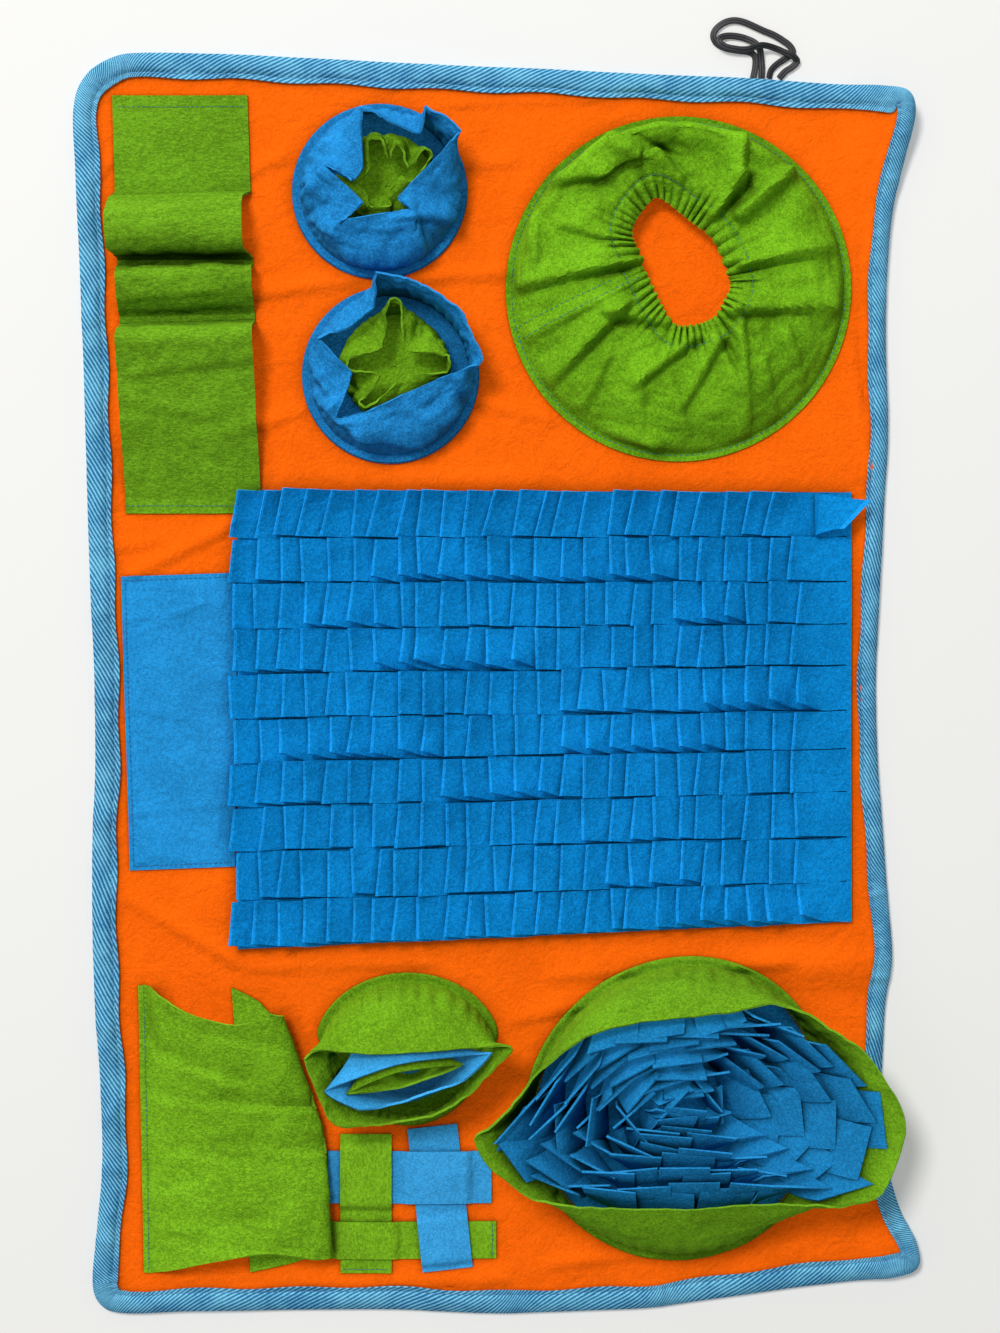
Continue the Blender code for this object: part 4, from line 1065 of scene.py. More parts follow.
def make_binding():
    """Bias tape folded over the edge, puckered along its stitches and kinked here and there."""
    half = TAPE / 2
    middle = (TAPE_LOW + TAPE_HIGH) / 2
    whole = len(MAT_EDGE)
    places = [whole * share for share in steps(TAPE_TURN_ROWS)]
    lengths = outline_lengths(places)
    total = lengths[places[-1]]

    def place(row, share):
        width = tape_width(row) * (1 + TAPE_WAVE * math.sin(lengths[row] / TAPE_WAVE_RUN))
        if share <= 1:
            puff = TAPE_PUFF * math.sin(math.pi * min(max(share - 0.06, 0), 1) / 0.94)
            groove = TAPE_GROOVE * bell(share - TAPE_STITCH_LINE, 0.12)
            return edge_point(row, mix(width, half, share), TAPE_HIGH + puff - groove - TAPE_DROP * share**8)
        if share < 1.2:
            return edge_point(row, half, middle)
        return edge_point(row, mix(3 * half, width - 0.0010, (share - 1.2) / 0.8), TAPE_LOW)

    def relief(row, share, point):
        if share > 1:
            return 0
        run = lengths[row]
        crown = bell(share - 0.5, 0.6)
        pucker = TAPE_PUCKER * math.sin(run / TAPE_PUCKER_RUN + 3 * math.sin(run / 0.013))
        roll = TAPE_ROLL * math.sin(run / TAPE_WAVE_RUN) + crumple(point.x, point.y, 0.1, *TAPE_WRINKLE)
        kink = 0.9 * kink_depth(row)
        return pucker * bell(share - 0.1, 0.4) + roll * crown - kink * bell(share - 0.45, 0.75)

    binding = sheet("edge_binding", TAPE_BLUE, places, TAPE_SHARES, place, thickness=TAPE, welded=True,
                    relief=relief)
    for corner in binding.data.uv_layers["Cloth"].data:
        corner.uv = (corner.uv.x / whole * total, corner.uv.y * TAPE_WIDTH["left"])
    own(binding, "binding")
    return binding


# --- fringe panel and patch ------------------------------------------------------------------------


def fringe_y(cut, x):
    """The y of one of the fringe's cuts at that x."""
    left, right = FRINGE_CUTS[cut]
    return mix(left, right, (x - FRINGE_LEFT) / (FRINGE_RIGHT - FRINGE_LEFT))


def tab_shapes():
    """How each tab lies: drawn once in a fixed order, with the open ones set as listed."""
    draw = random.Random(11)
    shapes = {}
    for strip in range(STRIP_COUNT):
        for row in range(len(FRINGE_CUTS) - 1):
            shapes[strip, row] = {
                "longer": draw.uniform(-0.0024, 0.0024),
                "slant": draw.uniform(-0.0011, 0.0011) - (0.0024 if row == 0 else 0.0004),
                "free": draw.uniform(0, 0.0018),
                "lower": draw.uniform(0.0003, 0.0022),
                "upper": draw.uniform(0, 0.0018) + (0.0035 if row == 0 else 0),
                "short": draw.uniform(0, 0.0009),
                "shift": draw.uniform(-0.0008, 0.0008),
                "curl": draw.uniform(0.0003, 0.0013),
                "wave": draw.uniform(0, 2 * math.pi),
            }
    for row, first, last, lift in OPEN_EDGES:
        for strip in range(first, last + 1):
            shapes[strip, row]["lower"] = lift * draw.uniform(0.75, 1.15)
            shapes[strip, row]["short"] = 0.0022 * lift / 0.004 * draw.uniform(0.7, 1.2)
    return shapes


def seam_point(root, cut, part, out):
    """A point of a strip's seam, on the right of its roots."""
    x = root + out / ROOT_SHARE * ROOT_BAND
    slit = 0 if cut + part in (0, len(FRINGE_CUTS) - 1) else TAB_SLIT / 2
    y = mix(fringe_y(cut, x) - slit, fringe_y(cut + 1, x) + slit, part)
    return (x, y, ON_FELT + TAB_SLOPE * (root + ROOT_BAND - x))


def tab_point(root, cut, part, out, tab):
    """A point of a tab: part is its share downwards and out its share of the tab's length."""
    length = TAB_LENGTH + tab["longer"] + tab["slant"] * (0.5 - part) * 2
    free = ease((out - 0.35) / 0.65) ** 1.3
    x = root - length * out
    upper = fringe_y(cut, x) - TAB_SLIT / 2
    lower = fringe_y(cut + 1, x) + TAB_SLIT / 2 + tab["short"] * free
    y = mix(upper, lower, part) + tab["shift"] * ease(out / 0.4)
    z = ON_FELT + TAB_SLOPE * (ROOT_BAND + length * out)
    z += tab["free"] * ease((out - 0.5) / 0.5) ** 2
    z += tab["lower"] * free * part**2.5 + tab["upper"] * free * (1 - part) ** 2
    z += tab["curl"] * max(out - 0.86, 0) ** 1.5 / 0.14**1.5
    z += 0.00035 * free * math.sin(tab["wave"] + 5 * part)
    return (x, y, z)


def rolled_point(root, part, out, y):
    """A point of the tab that is rolled back, which would lie at that y without its roll."""
    shift = profile_point([row[:2] for row in ROLLED_TAB], out)
    lift = profile_point([row[::2] for row in ROLLED_TAB], out)
    back = ease((out - ROLL_FROM) / (1 - ROLL_FROM))
    return (
        root + shift + back * (ROLL_SHIFT - ROLL_ASKEW * part),
        y + back * (ROLL_SHIFT - ROLL_DRAWN * (1 - part)),
        ON_FELT + ROLL_RISE + lift,
    )


def strip_surface(number, root, shapes):
    """The surface of one strip over shares of a tab's length and rows of tabs, counted downwards."""

    def place(out, down):
        cut = int(down)
        part = min(max((down - cut - TAB_GAP) / (1 - 2 * TAB_GAP), 0), 1)
        if out <= 0:
            return seam_point(root, cut, part, out)
        point = tab_point(root, cut, part, out, shapes[number, cut])
        if cut == 0 and number == STRIP_COUNT - 1:
            return rolled_point(root, part, out, point[1])
        return point

    return place


def make_fringe():
    """A panel of upright strips, each cut into tabs that lie to the left over the next strip."""
    last_cut = len(FRINGE_CUTS) - 1
    base_columns = [mix(FRINGE_BASE_LEFT, FRINGE_RIGHT, share) for share in steps(50)]
    base = sheet(
        "fringe_panel_base", FRINGE_BLUE, base_columns, steps(30),
        lambda x, down: (x, mix(fringe_y(0, x), fringe_y(last_cut, x), down), LAID),
    )
    own(base, "fringe_base")

    shapes = tab_shapes()
    pitch = (LAST_ROOT - FIRST_ROOT) / (STRIP_COUNT - 1)
    columns = [ROOT_SHARE, 0] + steps(TAB_COLUMNS)[1:-1] + [EDGE_HIGHLIGHT_COLUMN, 1]
    parts = [mix(TAB_GAP, 1 - TAB_GAP, share) for share in steps(TAB_ROWS)]
    rows = [row + part for row in range(last_cut) for part in parts]

    def keep(column, row):
        return column == 0 or row % (TAB_ROWS + 1) != TAB_ROWS

    def relief(out, down, point):
        return crumple(point.x, point.y, 0.7, *FRINGE_WRINKLE)

    for number in range(STRIP_COUNT):
        root = FIRST_ROOT + pitch * number + ROOT_WANDER * math.sin(2.1 * number)
        strip = sheet(f"fringe_cut_strip_{number + 1:02d}", FRINGE_BLUE, columns, rows,
                      strip_surface(number, root, shapes), keep=keep, relief=relief,
                      highlight_from=EDGE_HIGHLIGHT_COLUMN)
        own(strip, f"fringe_strip_{number + 1:02d}")


def make_patch():
    """The plain patch left of the fringe, a little raised inside its seam."""
    lower_left, lower_right, upper_right, upper_left = PATCH_CORNERS

    def place(across, up):
        x = mix(mix(lower_left[0], lower_right[0], across), mix(upper_left[0], upper_right[0], across), up)
        y = mix(mix(lower_left[1], lower_right[1], across), mix(upper_left[1], upper_right[1], across), up)
        edge = min(min(across, 1 - across) * PATCH_SIZE[0], min(up, 1 - up) * PATCH_SIZE[1])
        return (x, y, LAID + PATCH_PUFF * ease((edge - 0.0015) / 0.004))

    def relief(across, up, point):
        creases = fold_height(point.x, point.y, PATCH_CREASES)
        return max(creases + crumple(point.x, point.y, 0.9, *PATCH_WRINKLE), -0.0002)

    patch = sheet("bare_patch", PATCH_BLUE, steps(40), steps(100), place, relief=relief)
    own(patch, "label_patch")
    return patch


# --- loops, flap and straps ------------------------------------------------------------------------


def make_loop_strip():
    """One strip, sewn down in four places, that stands in three loops between them."""
    top, bottom = LOOP_PROFILE[0][0], LOOP_PROFILE[-1][0]
    count = len(LOOP_PROFILE) - 1
    along = [count * share for share in steps(count * 7)]

    def place(across, row):
        y, z = open_point(LOOP_PROFILE, row)
        z = max(z, LAID)
        centre = mix(LOOP_STRIP_TOP_X, LOOP_STRIP_BOTTOM_X, (top - y) / (top - bottom))
        stand = max(z - LAID, 0)
        y += profile_point(LOOP_SHIFTS, y) * (0.5 - across)
        y += LOOP_SWAY * stand * math.sin(3.1 * across + y * 60)
        z += LOOP_SWAY * stand * math.sin(5 * across + y * 35)
        centre -= LOOP_STEP * ease((0.2595 - y) / 0.0040) * ease((y - 0.2245) / 0.0030)
        return (centre + across * LOOP_STRIP_WIDTH, y, z)

    def relief(across, row, point):
        stand = ease((point.z - LAID) / 0.004)
        folds = fold_height(point.x, point.y, LOOP_CREASES)
        return -stand * (folds + crumple(*point, *LOOP_WRINKLE))

    strip = sheet("loop_band", STRIP_GREEN, [share - 0.5 for share in steps(44)], along, place,
                  relief=relief)
    own(strip, "loop_strip")
    return strip


def flap_section(place):
    """The section of the flap tunnel at a fractional row of its table, from seam to seam."""
    row = open_point(FLAP_SECTIONS, place)
    left_x, left_y, crest_y, fold_x, fold_y, return_x, return_y, crest_z = row
    width = fold_x - left_x
    return (
        (left_x, left_y, LAID),
        (left_x + FLAP_SEAM, left_y, LAID),
        (left_x + 0.18 * width, mix(left_y, crest_y, 0.25), 0.62 * crest_z),
        (left_x + 0.40 * width, mix(left_y, crest_y, 0.70), crest_z),
        (left_x + 0.68 * width, crest_y, crest_z),
        (fold_x - FLAP_ROLL, fold_y, 0.86 * crest_z),
        (fold_x, fold_y, 0.55 * crest_z),
        (fold_x - FLAP_ROLL, fold_y, LAID + 0.0004),
        (mix(fold_x, return_x, 0.5), mix(fold_y, return_y, 0.5), LAID),
        (return_x, return_y, LAID),
    )


def make_flap_tunnel():
    """The flap that is folded back under itself and is open at both ends."""
    count = len(FLAP_SECTIONS) - 1
    around = [FLAP_END * share for share in steps(72)]

    def place(along, step):
        x, y, z = open_point(flap_section(along), step)
        return (x, y, max(z, LAID))

    def relief(along, step, point):
        top = ease((point.z - LAID) / 0.005)
        folds = fold_height(point.x, point.y, FLAP_CREASES) if step < FLAP_FOLD else 0
        return -top * (folds + crumple(*point, *FLAP_WRINKLE))

    flap = sheet("flap_over_tunnel", FLAP_GREEN, [count * share for share in steps(64)], around, place,
                 relief=relief)
    own(flap, "flap_tunnel")
    return flap


def make_straps():
    """Four straps in plain weave: each is over one of the two straps that it crosses."""
    pieces = {}
    for name, (x0, y0, x1, y1, width, first, last) in STRAPS.items():
        finish = WEAVE_GREEN if name in ("strap_upright_left", "strap_cross_lower") else STRAP_BLUE
        length = math.dist((x0, y0), (x1, y1))
        side = (-(y1 - y0) / length * width, (x1 - x0) / length * width)

        def place(across, share, ends=(x0, y0, x1, y1), side=side, over=(first, last)):
            x = mix(ends[0], ends[2], share) + across * side[0]
            y = mix(ends[1], ends[3], share) + across * side[1]
            up = ease((share - over[0]) / STRAP_EASE)
            down = ease((share - over[1] + STRAP_EASE) / STRAP_EASE)
            raised = up * (1 - down)
            return (x, y, mix(LAID, STRAP_OVER, raised) + STRAP_CROWN * raised * bell(across, 0.7))

        def relief(across, share, point):
            return max(crumple(point.x, point.y, 0.2, *STRAP_WRINKLE), -0.0001)

        strap = sheet(name + "_felt", finish, [share - 0.5 for share in steps(20)], steps(56), place,
                      relief=relief)
        own(strap, name)
        pieces[name] = strap
    return pieces


# --- tubes -----------------------------------------------------------------------------------------


def rim_point(rim, turn, crisp=0):
    """The point of a rim's table at a number of degrees round the base."""
    turn = rim[0][0] + (turn - rim[0][0]) % 360
    ends = [row[0] for row in rim] + [rim[0][0] + 360]
    first = max(index for index in range(len(rim)) if ends[index] <= turn)
    share = (turn - ends[first]) / (ends[first + 1] - ends[first])
    return closed_point([row[1:] for row in rim], first + share, crisp)


def rim_turns(rim, step):
    """Degrees round the base at which a wall has its columns: each fold, and steps between them."""
    turns = []
    for row, following in zip(rim, rim[1:] + rim[:1]):
        span = (following[0] - row[0]) % 360
        pieces = max(2, round(math.dist(row[1:3], following[1:3]) / step))
        turns += [row[0] + span * piece / pieces for piece in range(pieces)]
    return turns + [rim[0][0] + 360]


def wall_rise(turn, share):
    """The share of its height that a plain wall has reached, which is the same all round."""
    return profile_point(WALL_PROFILE, share)


def tube(name, finish, centre, radius, rim, allowance, relief, crisp=0.6, step=0.0014, rows=30,
         rise=wall_rise, roll=0, under=None, bag=False, drift=None, soften=1):
    """A tube from its seam to its rim.

    Its allowance lies outside the wall and is turned under as far in as the radius `under`. A bag has
    no allowance, and its cloth covers the floor inside. drift(turn) is how far the foot lies off its
    circle there.
    """
    foot = radius - allowance
    base = LAID if under is None and not bag else ON_FELT
    seam = ALLOWANCE_ROWS if under is None else UNDER_ROWS + ALLOWANCE_ROWS
    shares = [*seam, *steps(rows)]

    def place(turn, share):
        angle = math.radians(turn)
        reach, level = foot, base
        if bag and share < 0:
            reach = mix(BAG_HOLE, foot, share + 1)
        elif share < -2:
            reach, level = mix(under, radius, share + 3), LAID
        elif share < -1:
            reach, level = radius + FOLD_OUT, (LAID + ON_FELT) / 2
        elif share < 0:
            reach = mix(radius, foot, share + 1)
        drift_x, drift_y = drift(turn) if drift else (0, 0)
        foot_x = centre[0] + reach * math.cos(angle) + drift_x
        foot_y = centre[1] + reach * math.sin(angle) + drift_y
        if share <= 0:
            return (foot_x, foot_y, level)
        x, y, z = rim_point(rim, turn, crisp)
        along = share - roll * ease((share - 0.9) / 0.1) ** 2
        return (mix(foot_x, x, along), mix(foot_y, y, along), mix(base, z, rise(turn, share)))

    def settled(turn, share, point):
        return 0 if share < -1 else relief(turn, share, point)

    return sheet(name, finish, rim_turns(rim, step), shares, place, welded=True, relief=settled,
                 soften=soften)


def wall_relief(size, depth, gathers, gather_depth):
    """Crumpled felt with gathers that start at the seam and die out up the wall."""

    def relief(turn, share, point):
        if share <= 0:
            return 0.25 * crumple(point.x, point.y, 0, 0.006, depth)
        pulled = bell(share, 0.55) * ease(share / 0.05)
        wave = abs(math.sin(math.radians(turn) * gathers / 2 + 2.2 * math.sin(math.radians(turn) * 3)))
        return crumple(*point, size, depth) * ease(share / 0.1) + gather_depth * pulled * (wave - 0.5)

    return relief


def make_cups():
    """Two blue cups, each with a green insert that is folded nearly shut."""
    soft = wall_relief(*CUP_WALL)

    def folded(turn, share, point):
        body = ease(share / 0.15) * (1 - ease((share - 0.8) / 0.2))
        return soft(turn, share, point) + body * fold_height(point.x, point.y, CUP_FOLDS)

    for name, centre, radius, rim, node in (
        ("cup_upper_felt", UPPER_CUP_CENTRE, UPPER_CUP_RADIUS, UPPER_CUP_RIM, "cup_upper"),
        ("cup_lower_felt", LOWER_CUP_CENTRE, LOWER_CUP_RADIUS, LOWER_CUP_RIM, "cup_lower"),
    ):
        cup = tube(name, CUP_BLUE, centre, radius, rim, SEAM_ALLOWANCE, folded, crisp=0.8, under=CUP_UNDER)
        own(cup, node)
    tight = wall_relief(*INSERT_WALL)
    for name, centre, radius, rim, node in (
        ("cup_upper_insert_felt", UPPER_INSERT_CENTRE, UPPER_INSERT_RADIUS, UPPER_INSERT_RIM,
         "cup_upper_insert"),
        ("cup_lower_insert_felt", LOWER_INSERT_CENTRE, LOWER_INSERT_RADIUS, LOWER_INSERT_RIM,
         "cup_lower_insert"),
    ):
        insert = tube(name, NEST_GREEN, centre, radius, rim, INSERT_ALLOWANCE, tight, crisp=0.5, bag=True)
        own(insert, node)


def make_nest():
    """Three tubes inside each other. The outer one is pulled wide towards the corners of its mouth."""

    def wide(turn):
        angle = math.radians(turn)
        return (NEST_DRIFT * math.cos(angle) * ease((math.sin(angle) + 0.3) / 0.6), 0)

    for name, finish, radius, rim, node, allowance, depth, under in (
        ("nest_outer_felt", NEST_GREEN, NEST_OUTER_RADIUS, NEST_OUTER_RIM, "nest_outer",
         SEAM_ALLOWANCE, 0.0023, CUP_UNDER),
        ("nest_middle_felt", STRAP_BLUE, NEST_MIDDLE_RADIUS, NEST_MIDDLE_RIM, "nest_middle",
         INSERT_ALLOWANCE, 0.0008, None),
        ("nest_inner_felt", NEST_GREEN, NEST_INNER_RADIUS, NEST_INNER_RIM, "nest_inner",
         INSERT_ALLOWANCE, 0.0005, None),
    ):
        wall = tube(name, finish, NEST_CENTRE, radius, rim, allowance,
                    wall_relief(0.018, depth, 38, 0.9 * depth), crisp=0.55, under=under, bag=under is None,
                    drift=wide if under else None)
        own(wall, node)


def leaning(turn):
    """How far the pouch's foot lies to the right of its circle, towards the mat's upper end."""
    return (POUCH_LEAN * max(math.sin(math.radians(turn)), 0), 0)


def make_pouch_wall():
    """The large standing collar round the petals."""
    wall = tube("pouch_wall_felt", POUCH_GREEN, POUCH_CENTRE, POUCH_RADIUS, POUCH_RIM, SEAM_ALLOWANCE,
                wall_relief(*POUCH_WALL), crisp=0.25, step=0.0018, rows=36, under=POUCH_UNDER, drift=leaning)
    own(wall, "pouch_wall")


def ring_gathers(turn, near):
    """Height of the small gathers at that distance from the ring's hole."""
    angle = math.radians(turn)
    wave = GATHER_WAVES * angle + 1.1 * math.sin(5 * angle) + 0.4 * math.sin(11 * angle)
    pull = 0.8 + 0.35 * math.sin(7 * angle)
    reach = GATHER_REACH + GATHER_MORE * abs(math.sin(6.5 * angle + 1))
    return GATHER_DEPTH * pull * (abs(math.sin(wave)) - 0.55) * (1 - ease((near - 0.005) / reach))


def make_ring():
    """The gathered ring: a dome of felt whose hole is drawn up by a casing."""

    def relief(turn, share, point):
        if share <= 0:
            return 0.3 * crumple(point.x, point.y, 0, *RING_SEAM_WRINKLE)
        near = math.dist(rim_point(RING_HOLE, turn)[:2], (point.x, point.y))
        body = ease(share / 0.10) * (1 - 0.75 * ease((share - 0.84) / 0.16))
        folds = fold_height(point.x, point.y, RING_FOLDS) + crumple(*point, *RING_WRINKLE)
        groove = CASING_GROOVE * bell(near - CASING, CASING_GROOVE_REACH)
        return body * folds + ring_gathers(turn, near) - groove

    def rise(turn, share):
        off = (turn - UPPER_TURN + 180) % 360 - 180
        upper = profile_point(RING_UPPER_PROFILE, share)
        return mix(profile_point(RING_PROFILE, share), upper, bell(off, UPPER_REACH))

    ring = tube("gathered_ring_felt", RING_GREEN, RING_CENTRE, RING_RADIUS, RING_HOLE, SEAM_ALLOWANCE,
                relief, crisp=0.35, step=RING_STEP, rows=RING_ROWS, rise=rise, roll=0.02)
    own(ring, "gathered_ring")
    return ring


def make_petals():
    """Rings of straight tabs in two layers, cut from bands that lie flat round each ring."""
    draw = random.Random(5)
    outer = PETAL_BAND
    for number, (root, mouth, high, count, wander, end_share, flat_share) in enumerate(PETAL_RINGS):
        mesh = bmesh.new()
        last = number == len(PETAL_RINGS) - 1
        add_grid(mesh, 72, 2, petal_band(BAG_HOLE if last else root, outer))
        outer = root
        for layer in range(2):
            for petal in range(count):
                turn = 360 / count * (petal + 0.5 * layer + 0.27 * number) + draw.uniform(-3, 3)
                right = math.cos(math.radians(turn))
                ends = end_share * abs(right) ** 3
                flat = flat_share * max(right, 0) ** 2
                tip = mouth - 0.055 * layer + draw.uniform(-0.03, 0.03) * (1 - ends)
                tip += PETAL_END_REACH * ends + PETAL_FLAT_REACH * flat
                top = high + draw.uniform(-0.002, 0.003) * (1 - ends) - PETAL_FLAT_DROP * flat
                width = 2 * math.pi * root / count * draw.uniform(0.98, 1.12)
                yaw = draw.uniform(-wander, wander)
                foot = root - PETAL_LAYER_STEP * layer
                add_grid(mesh, 4, 7, petal_tab(foot, turn, tip, top, width, yaw))
        petals = cloth(f"petals_{number + 1}_felt", PETAL_BLUE_WITH_PAINTED_SHADE, mesh)
        own(petals, f"petal_ring_{number + 1}")


def add_grid(mesh, across, along, place):
    """A grid of points place(0 to 1, 0 to 1)."""
    grid = bmesh.ops.create_grid(mesh, x_segments=across, y_segments=along, size=0.5)
    for vertex in grid["verts"]:
        vertex.co = place(vertex.co.x + 0.5, vertex.co.y + 0.5)


def petal_band(inner, outer):
    """The flat band of a ring of tabs, of which the outermost follows the foot of the pouch."""

    def place(around, out):
        turn = -360 * around
        angle = math.radians(turn)
        reach = mix(inner, outer, out)
        x = POUCH_CENTRE[0] + reach * math.cos(angle)
        if outer == PETAL_BAND:
            x += leaning(turn)[0] * out
        return (x, POUCH_CENTRE[1] + reach * math.sin(angle), LAID)

    return place


def petal_tab(root, turn, mouth, high, width, yaw):
    """A tab from its root on a circle of the base to its straight tip, that share of the way to the
    pouch's rim."""
    angle = math.radians(turn)
    outward = Vector((math.cos(angle), math.sin(angle), 0))
    foot = Vector((*POUCH_CENTRE, LAID)) + root * outward
    foot_run = Vector((-math.sin(angle), math.cos(angle), 0))
    ahead = Vector((*rim_point(POUCH_RIM, turn + 9)[:2], 0))
    behind = Vector((*rim_point(POUCH_RIM, turn - 9)[:2], 0))
    tip_run = Matrix.Rotation(math.radians(yaw), 3, "Z") @ (ahead - behind).normalized()
    rim_x, rim_y, rim_z = rim_point(POUCH_RIM, turn)
    high = min(high, rim_z)
    tip = Vector((mix(MOUTH_CENTRE[0], rim_x, mouth), mix(MOUTH_CENTRE[1], rim_y, mouth), LAID))

    def place(across, up):
        middle = foot.lerp(tip, up)
        middle.z = mix(LAID, high, 1 - (1 - up) ** 1.7)
        return middle + foot_run.lerp(tip_run, up) * ((across - 0.5) * width)

    return place


# --- elastic ---------------------------------------------------------------------------------------


def cord_line(route):
    """The middle line of a cord, with each crossing raised by the cords beneath."""
    count = (len(route) - 1) * CORD_STEPS
    line = []
    for step in range(count + 1):
        x, y, level = open_point(route, step / CORD_STEPS)
        line.append(Vector((x, y, CORD_FLOOR + max(level, 0) * CORD_STACK)))
    return line


def rounded(value, power):
    """A sine or cosine made squarer, so that a circle becomes a flat band's section."""
    return math.copysign(abs(value) ** power, value)


def band_point(line, around, along, tilt):
    """A point of the flat band that follows the line: its side across the line, and its place on it."""
    last = len(line) - 1
    forward = (line[min(along + 1, last)] - line[max(along - 1, 0)]).normalized()
    side = forward.cross(Vector((0, 0, 1))).normalized()
    up = side.cross(forward)
    roll = tilt + ELASTIC_ROCK * math.sin(along / last * 7)
    angle = 2 * math.pi * around / CORD_SIDES
    across = rounded(math.cos(angle), 0.5) * ELASTIC_WIDTH / 2
    over = rounded(math.sin(angle), 0.6) * ELASTIC_DEPTH / 2
    return line[along] + side * (across * math.cos(roll) - over * math.sin(roll)) + up * (
        across * math.sin(roll) + over * math.cos(roll)
    )


def make_elastic(name, route, length, node, tilt):
    """A flat ribbed band swept along the cord's route."""
    line = cord_line(route)
    count = len(line) - 1
    mesh = bmesh.new()
    bmesh.ops.create_grid(mesh, x_segments=CORD_SIDES, y_segments=count, size=0.5)
    cloth_map = mesh.loops.layers.uv.new("Cloth")
    places = {v: (round((v.co.x + 0.5) * CORD_SIDES), round((v.co.y + 0.5) * count)) for v in mesh.verts}
    for face in mesh.faces:
        for corner in face.loops:
            around, along = places[corner.vert]
            corner[cloth_map].uv = (around / CORD_SIDES * ELASTIC_GIRTH, along / count * length)
    for vertex, (around, along) in places.items():
        vertex.co = band_point(line, around, along, tilt)
        vertex.co.z = max(vertex.co.z, 0.0001)
    bmesh.ops.remove_doubles(mesh, verts=mesh.verts, dist=1e-6)
    bmesh.ops.holes_fill(mesh, edges=[edge for edge in mesh.edges if edge.is_boundary], sides=0)
    bmesh.ops.recalc_face_normals(mesh, faces=mesh.faces)
    slot, material = ELASTIC
    band = new_piece(name, mesh, material)
    smooth(band.data)
    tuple(line[0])
    own(band, node)


# --- thread ----------------------------------------------------------------------------------------


def drop_onto(pieces):
    """A function that gives the highest point of the pieces above x and y, or None."""
    trees = []
    for piece in pieces:
        solid = bmesh.new()
        solid.from_mesh(piece.data)
        trees.append(BVHTree.FromBMesh(solid))
        solid.free()

    def surface(x, y):
        hits = [tree.ray_cast(Vector((x, y, DROP_HEIGHT)), Vector((0, 0, -1)))[0] for tree in trees]
        return max((hit for hit in hits if hit is not None), key=lambda hit: hit.z, default=None)

    return surface


def sew(name, finish, runs, onto, pitch=PITCH):
    """Stitches along some runs of points, dropped onto the sheets under them, as one mesh."""
    surface = drop_onto(onto)
    mesh = bmesh.new()
    draw = random.Random(len(name))
    for run in runs:
        carried = 0
        for (x0, y0), (x1, y1) in zip(run, run[1:]):
            length = math.dist((x0, y0), (x1, y1))
            at = carried
            while at < length:
                ends = []
                for offset in (-STITCH / 2, STITCH / 2):
                    share = (at + offset) / length
                    ends.append(surface(mix(x0, x1, share), mix(y0, y1, share)))
                if None not in ends and (ends[1] - ends[0]).length < 3 * STITCH:
                    place_stitch(mesh, *ends, THREAD * draw.uniform(0.9, 1.15))
                at += pitch
            carried = at - length
    slot, material = finish
    piece = new_piece(name, mesh, material)
    piece.data.polygons.foreach_set("use_smooth", [True] * len(piece.data.polygons))
    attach(piece, "root")


def place_stitch(mesh, start, end, thick):
    """One stitch as a slim pod between two points of the cloth."""
    along = end - start
    turn = along.to_track_quat("X", "Z").to_matrix().to_4x4()
    middle = (start + end) / 2 + Vector((0, 0, thick * 0.5 - SUNK))
    size = Matrix.Diagonal((along.length, thick, thick * 0.8, 1))
    bmesh.ops.create_uvsphere(
        mesh, u_segments=6, v_segments=4, radius=0.5, matrix=Matrix.Translation(middle) @ turn @ size
    )


def circle_run(centre, radius, count=180):
    """Points round a circle, of which the last is the first again."""
    turns = [2 * math.pi * share for share in steps(count)]
    return [(centre[0] + radius * math.cos(turn), centre[1] + radius * math.sin(turn)) for turn in turns]


def make_thread(pieces):
    """All the stitch lines that show."""
    outline = [len(MAT_EDGE) * share for share in steps(8 * len(MAT_EDGE))]
    sew("binding_stitches", THREAD_PALE,
        [[edge_point(row, tape_width(row) * TAPE_STITCHES, 0)[:2] for row in outline]], [pieces["binding"]])
    half = LOOP_STRIP_WIDTH / 2 - 0.001
    sew("loop_band_stitches", THREAD_TEAL, [
        [(middle - half, y), (middle + half, y)]
        for middle, y in zip((LOOP_STRIP_TOP_X, LOOP_STRIP_BOTTOM_X), LOOP_SEAMS)
    ], [pieces["loops"]], pitch=CLOSE_PITCH)
    inset = PATCH_SEAM
    lower_left, lower_right, upper_right, upper_left = PATCH_CORNERS
    sew("patch_stitches", THREAD_BLUE, [[
        (lower_right[0], lower_right[1] + inset), (lower_left[0] + inset, lower_left[1] + inset),
        (upper_left[0] + inset, upper_left[1] - inset), (upper_right[0], upper_right[1] - inset),
    ]], [pieces["patch"]], pitch=CLOSE_PITCH)
    outer_seam = circle_run(RING_CENTRE, RING_RADIUS - RING_SEAM_INSET)
    casing = [casing_point(turn) for turn in range(0, 361, 3)]
    sew("ring_stitches", THREAD_TEAL, [outer_seam, *RING_SEAMS, casing], [pieces["ring"]])
    sew("flap_stitches", THREAD_TEAL, [FLAP_SIDE_SEAM], [pieces["flap"]], pitch=CLOSE_PITCH)
    straps = pieces["straps"]
    sew("strap_stitches", THREAD_TEAL, STRAP_SEAMS,
        [straps["strap_cross_lower"], straps["strap_upright_left"]], pitch=CLOSEST_PITCH)


def casing_point(turn):
    """A point of the ring's casing seam, which runs CASING out from the hole."""
    x, y, _ = rim_point(RING_HOLE, turn)
    angle = math.radians(turn)
    foot_x = RING_CENTRE[0] + RING_RADIUS * math.cos(angle)
    foot_y = RING_CENTRE[1] + RING_RADIUS * math.sin(angle)
    share = CASING / math.dist((x, y), (foot_x, foot_y))
    return (mix(x, foot_x, share), mix(y, foot_y, share))


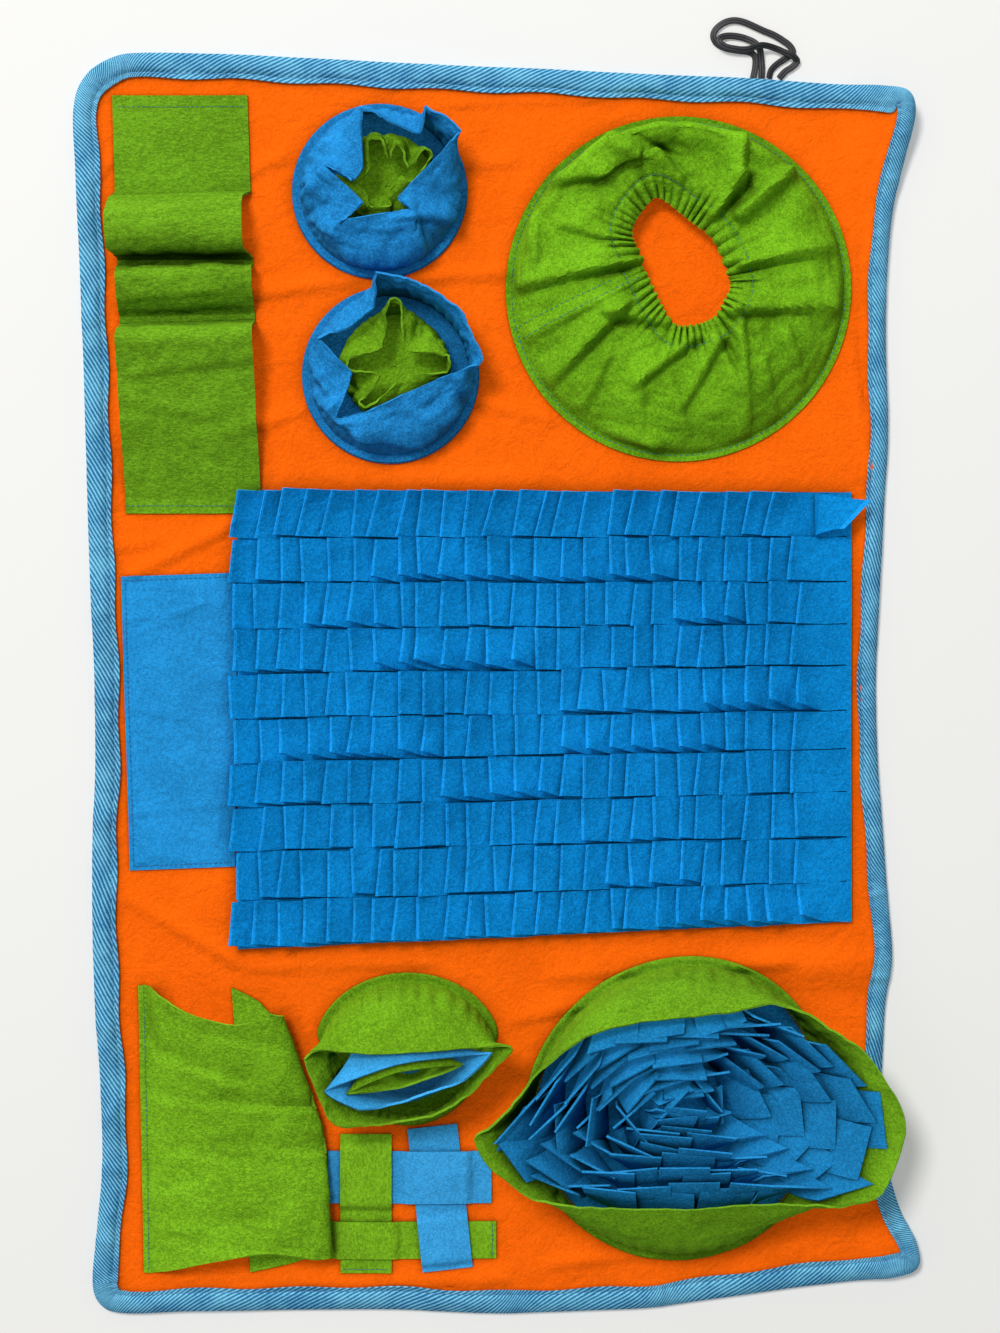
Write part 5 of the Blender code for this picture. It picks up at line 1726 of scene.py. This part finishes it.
# --- studio ----------------------------------------------------------------------------------------


def make_studio():
    """A pale floor, a soft key light, an even fill, and a low light without shadows from the mat's
    upper end, which brings out the folds."""
    scene = bpy.context.scene
    scene.view_settings.view_transform = "Standard"
    mesh = bmesh.new()
    bmesh.ops.create_grid(mesh, x_segments=1, y_segments=1, size=FLOOR_SIZE / 2)
    graph = Graph("pale_floor", 0.9, 0.1)
    graph.shader.inputs["Base Color"].default_value = FLOOR_GREY
    floor = new_piece("studio_floor", mesh, graph.material)
    floor.data.transform(Matrix.Translation((0, 0, FLOOR_LEVEL)))

    world = bpy.data.worlds.new("studio_fill")
    world.use_nodes = True
    background = world.node_tree.nodes["Background"]
    background.inputs["Color"].default_value = FILL_TINT
    background.inputs["Strength"].default_value = FILL_STRENGTH
    scene.world = world
    make_light("key", KEY_PLACE, KEY_SIZE, KEY_POWER)
    make_light("rake", RAKE_PLACE, RAKE_SIZE, RAKE_POWER).use_shadow = False


def make_light(name, place, size, power):
    """A round lamp that points at the middle of the mat."""
    lamp = bpy.data.lights.new(name, "AREA")
    lamp.shape = "DISK"
    lamp.size = size
    lamp.energy = power
    lamp.color = LAMP_TINT
    light = bpy.data.objects.new(name, lamp)
    light.location = place
    light.rotation_euler = (-Vector(place)).to_track_quat("-Z", "Y").to_euler()
    bpy.context.scene.collection.objects.link(light)
    return lamp


def make_camera():
    """A camera straight above the mat."""
    lens = bpy.data.cameras.new("camera_above")
    lens.sensor_fit = "VERTICAL"
    lens.sensor_height = SENSOR_HEIGHT
    lens.lens = CAMERA_LENS
    camera = bpy.data.objects.new("camera_above", lens)
    camera.location = CAMERA_PLACE
    bpy.context.scene.collection.objects.link(camera)
    bpy.context.scene.camera = camera


make_camera()
make_elastic("elastic_outer_band", OUTER_CORD, OUTER_LENGTH, "elastic_outer", OUTER_TILT)
make_elastic("elastic_inner_band", INNER_CORD, INNER_LENGTH, "elastic_inner", INNER_TILT)
make_ground()
made = {"binding": make_binding()}
make_fringe()
made["patch"] = make_patch()
made["loops"] = make_loop_strip()
made["flap"] = make_flap_tunnel()
made["straps"] = make_straps()
make_cups()
make_nest()
make_pouch_wall()
make_petals()
made["ring"] = make_ring()
make_thread(made)
make_studio()
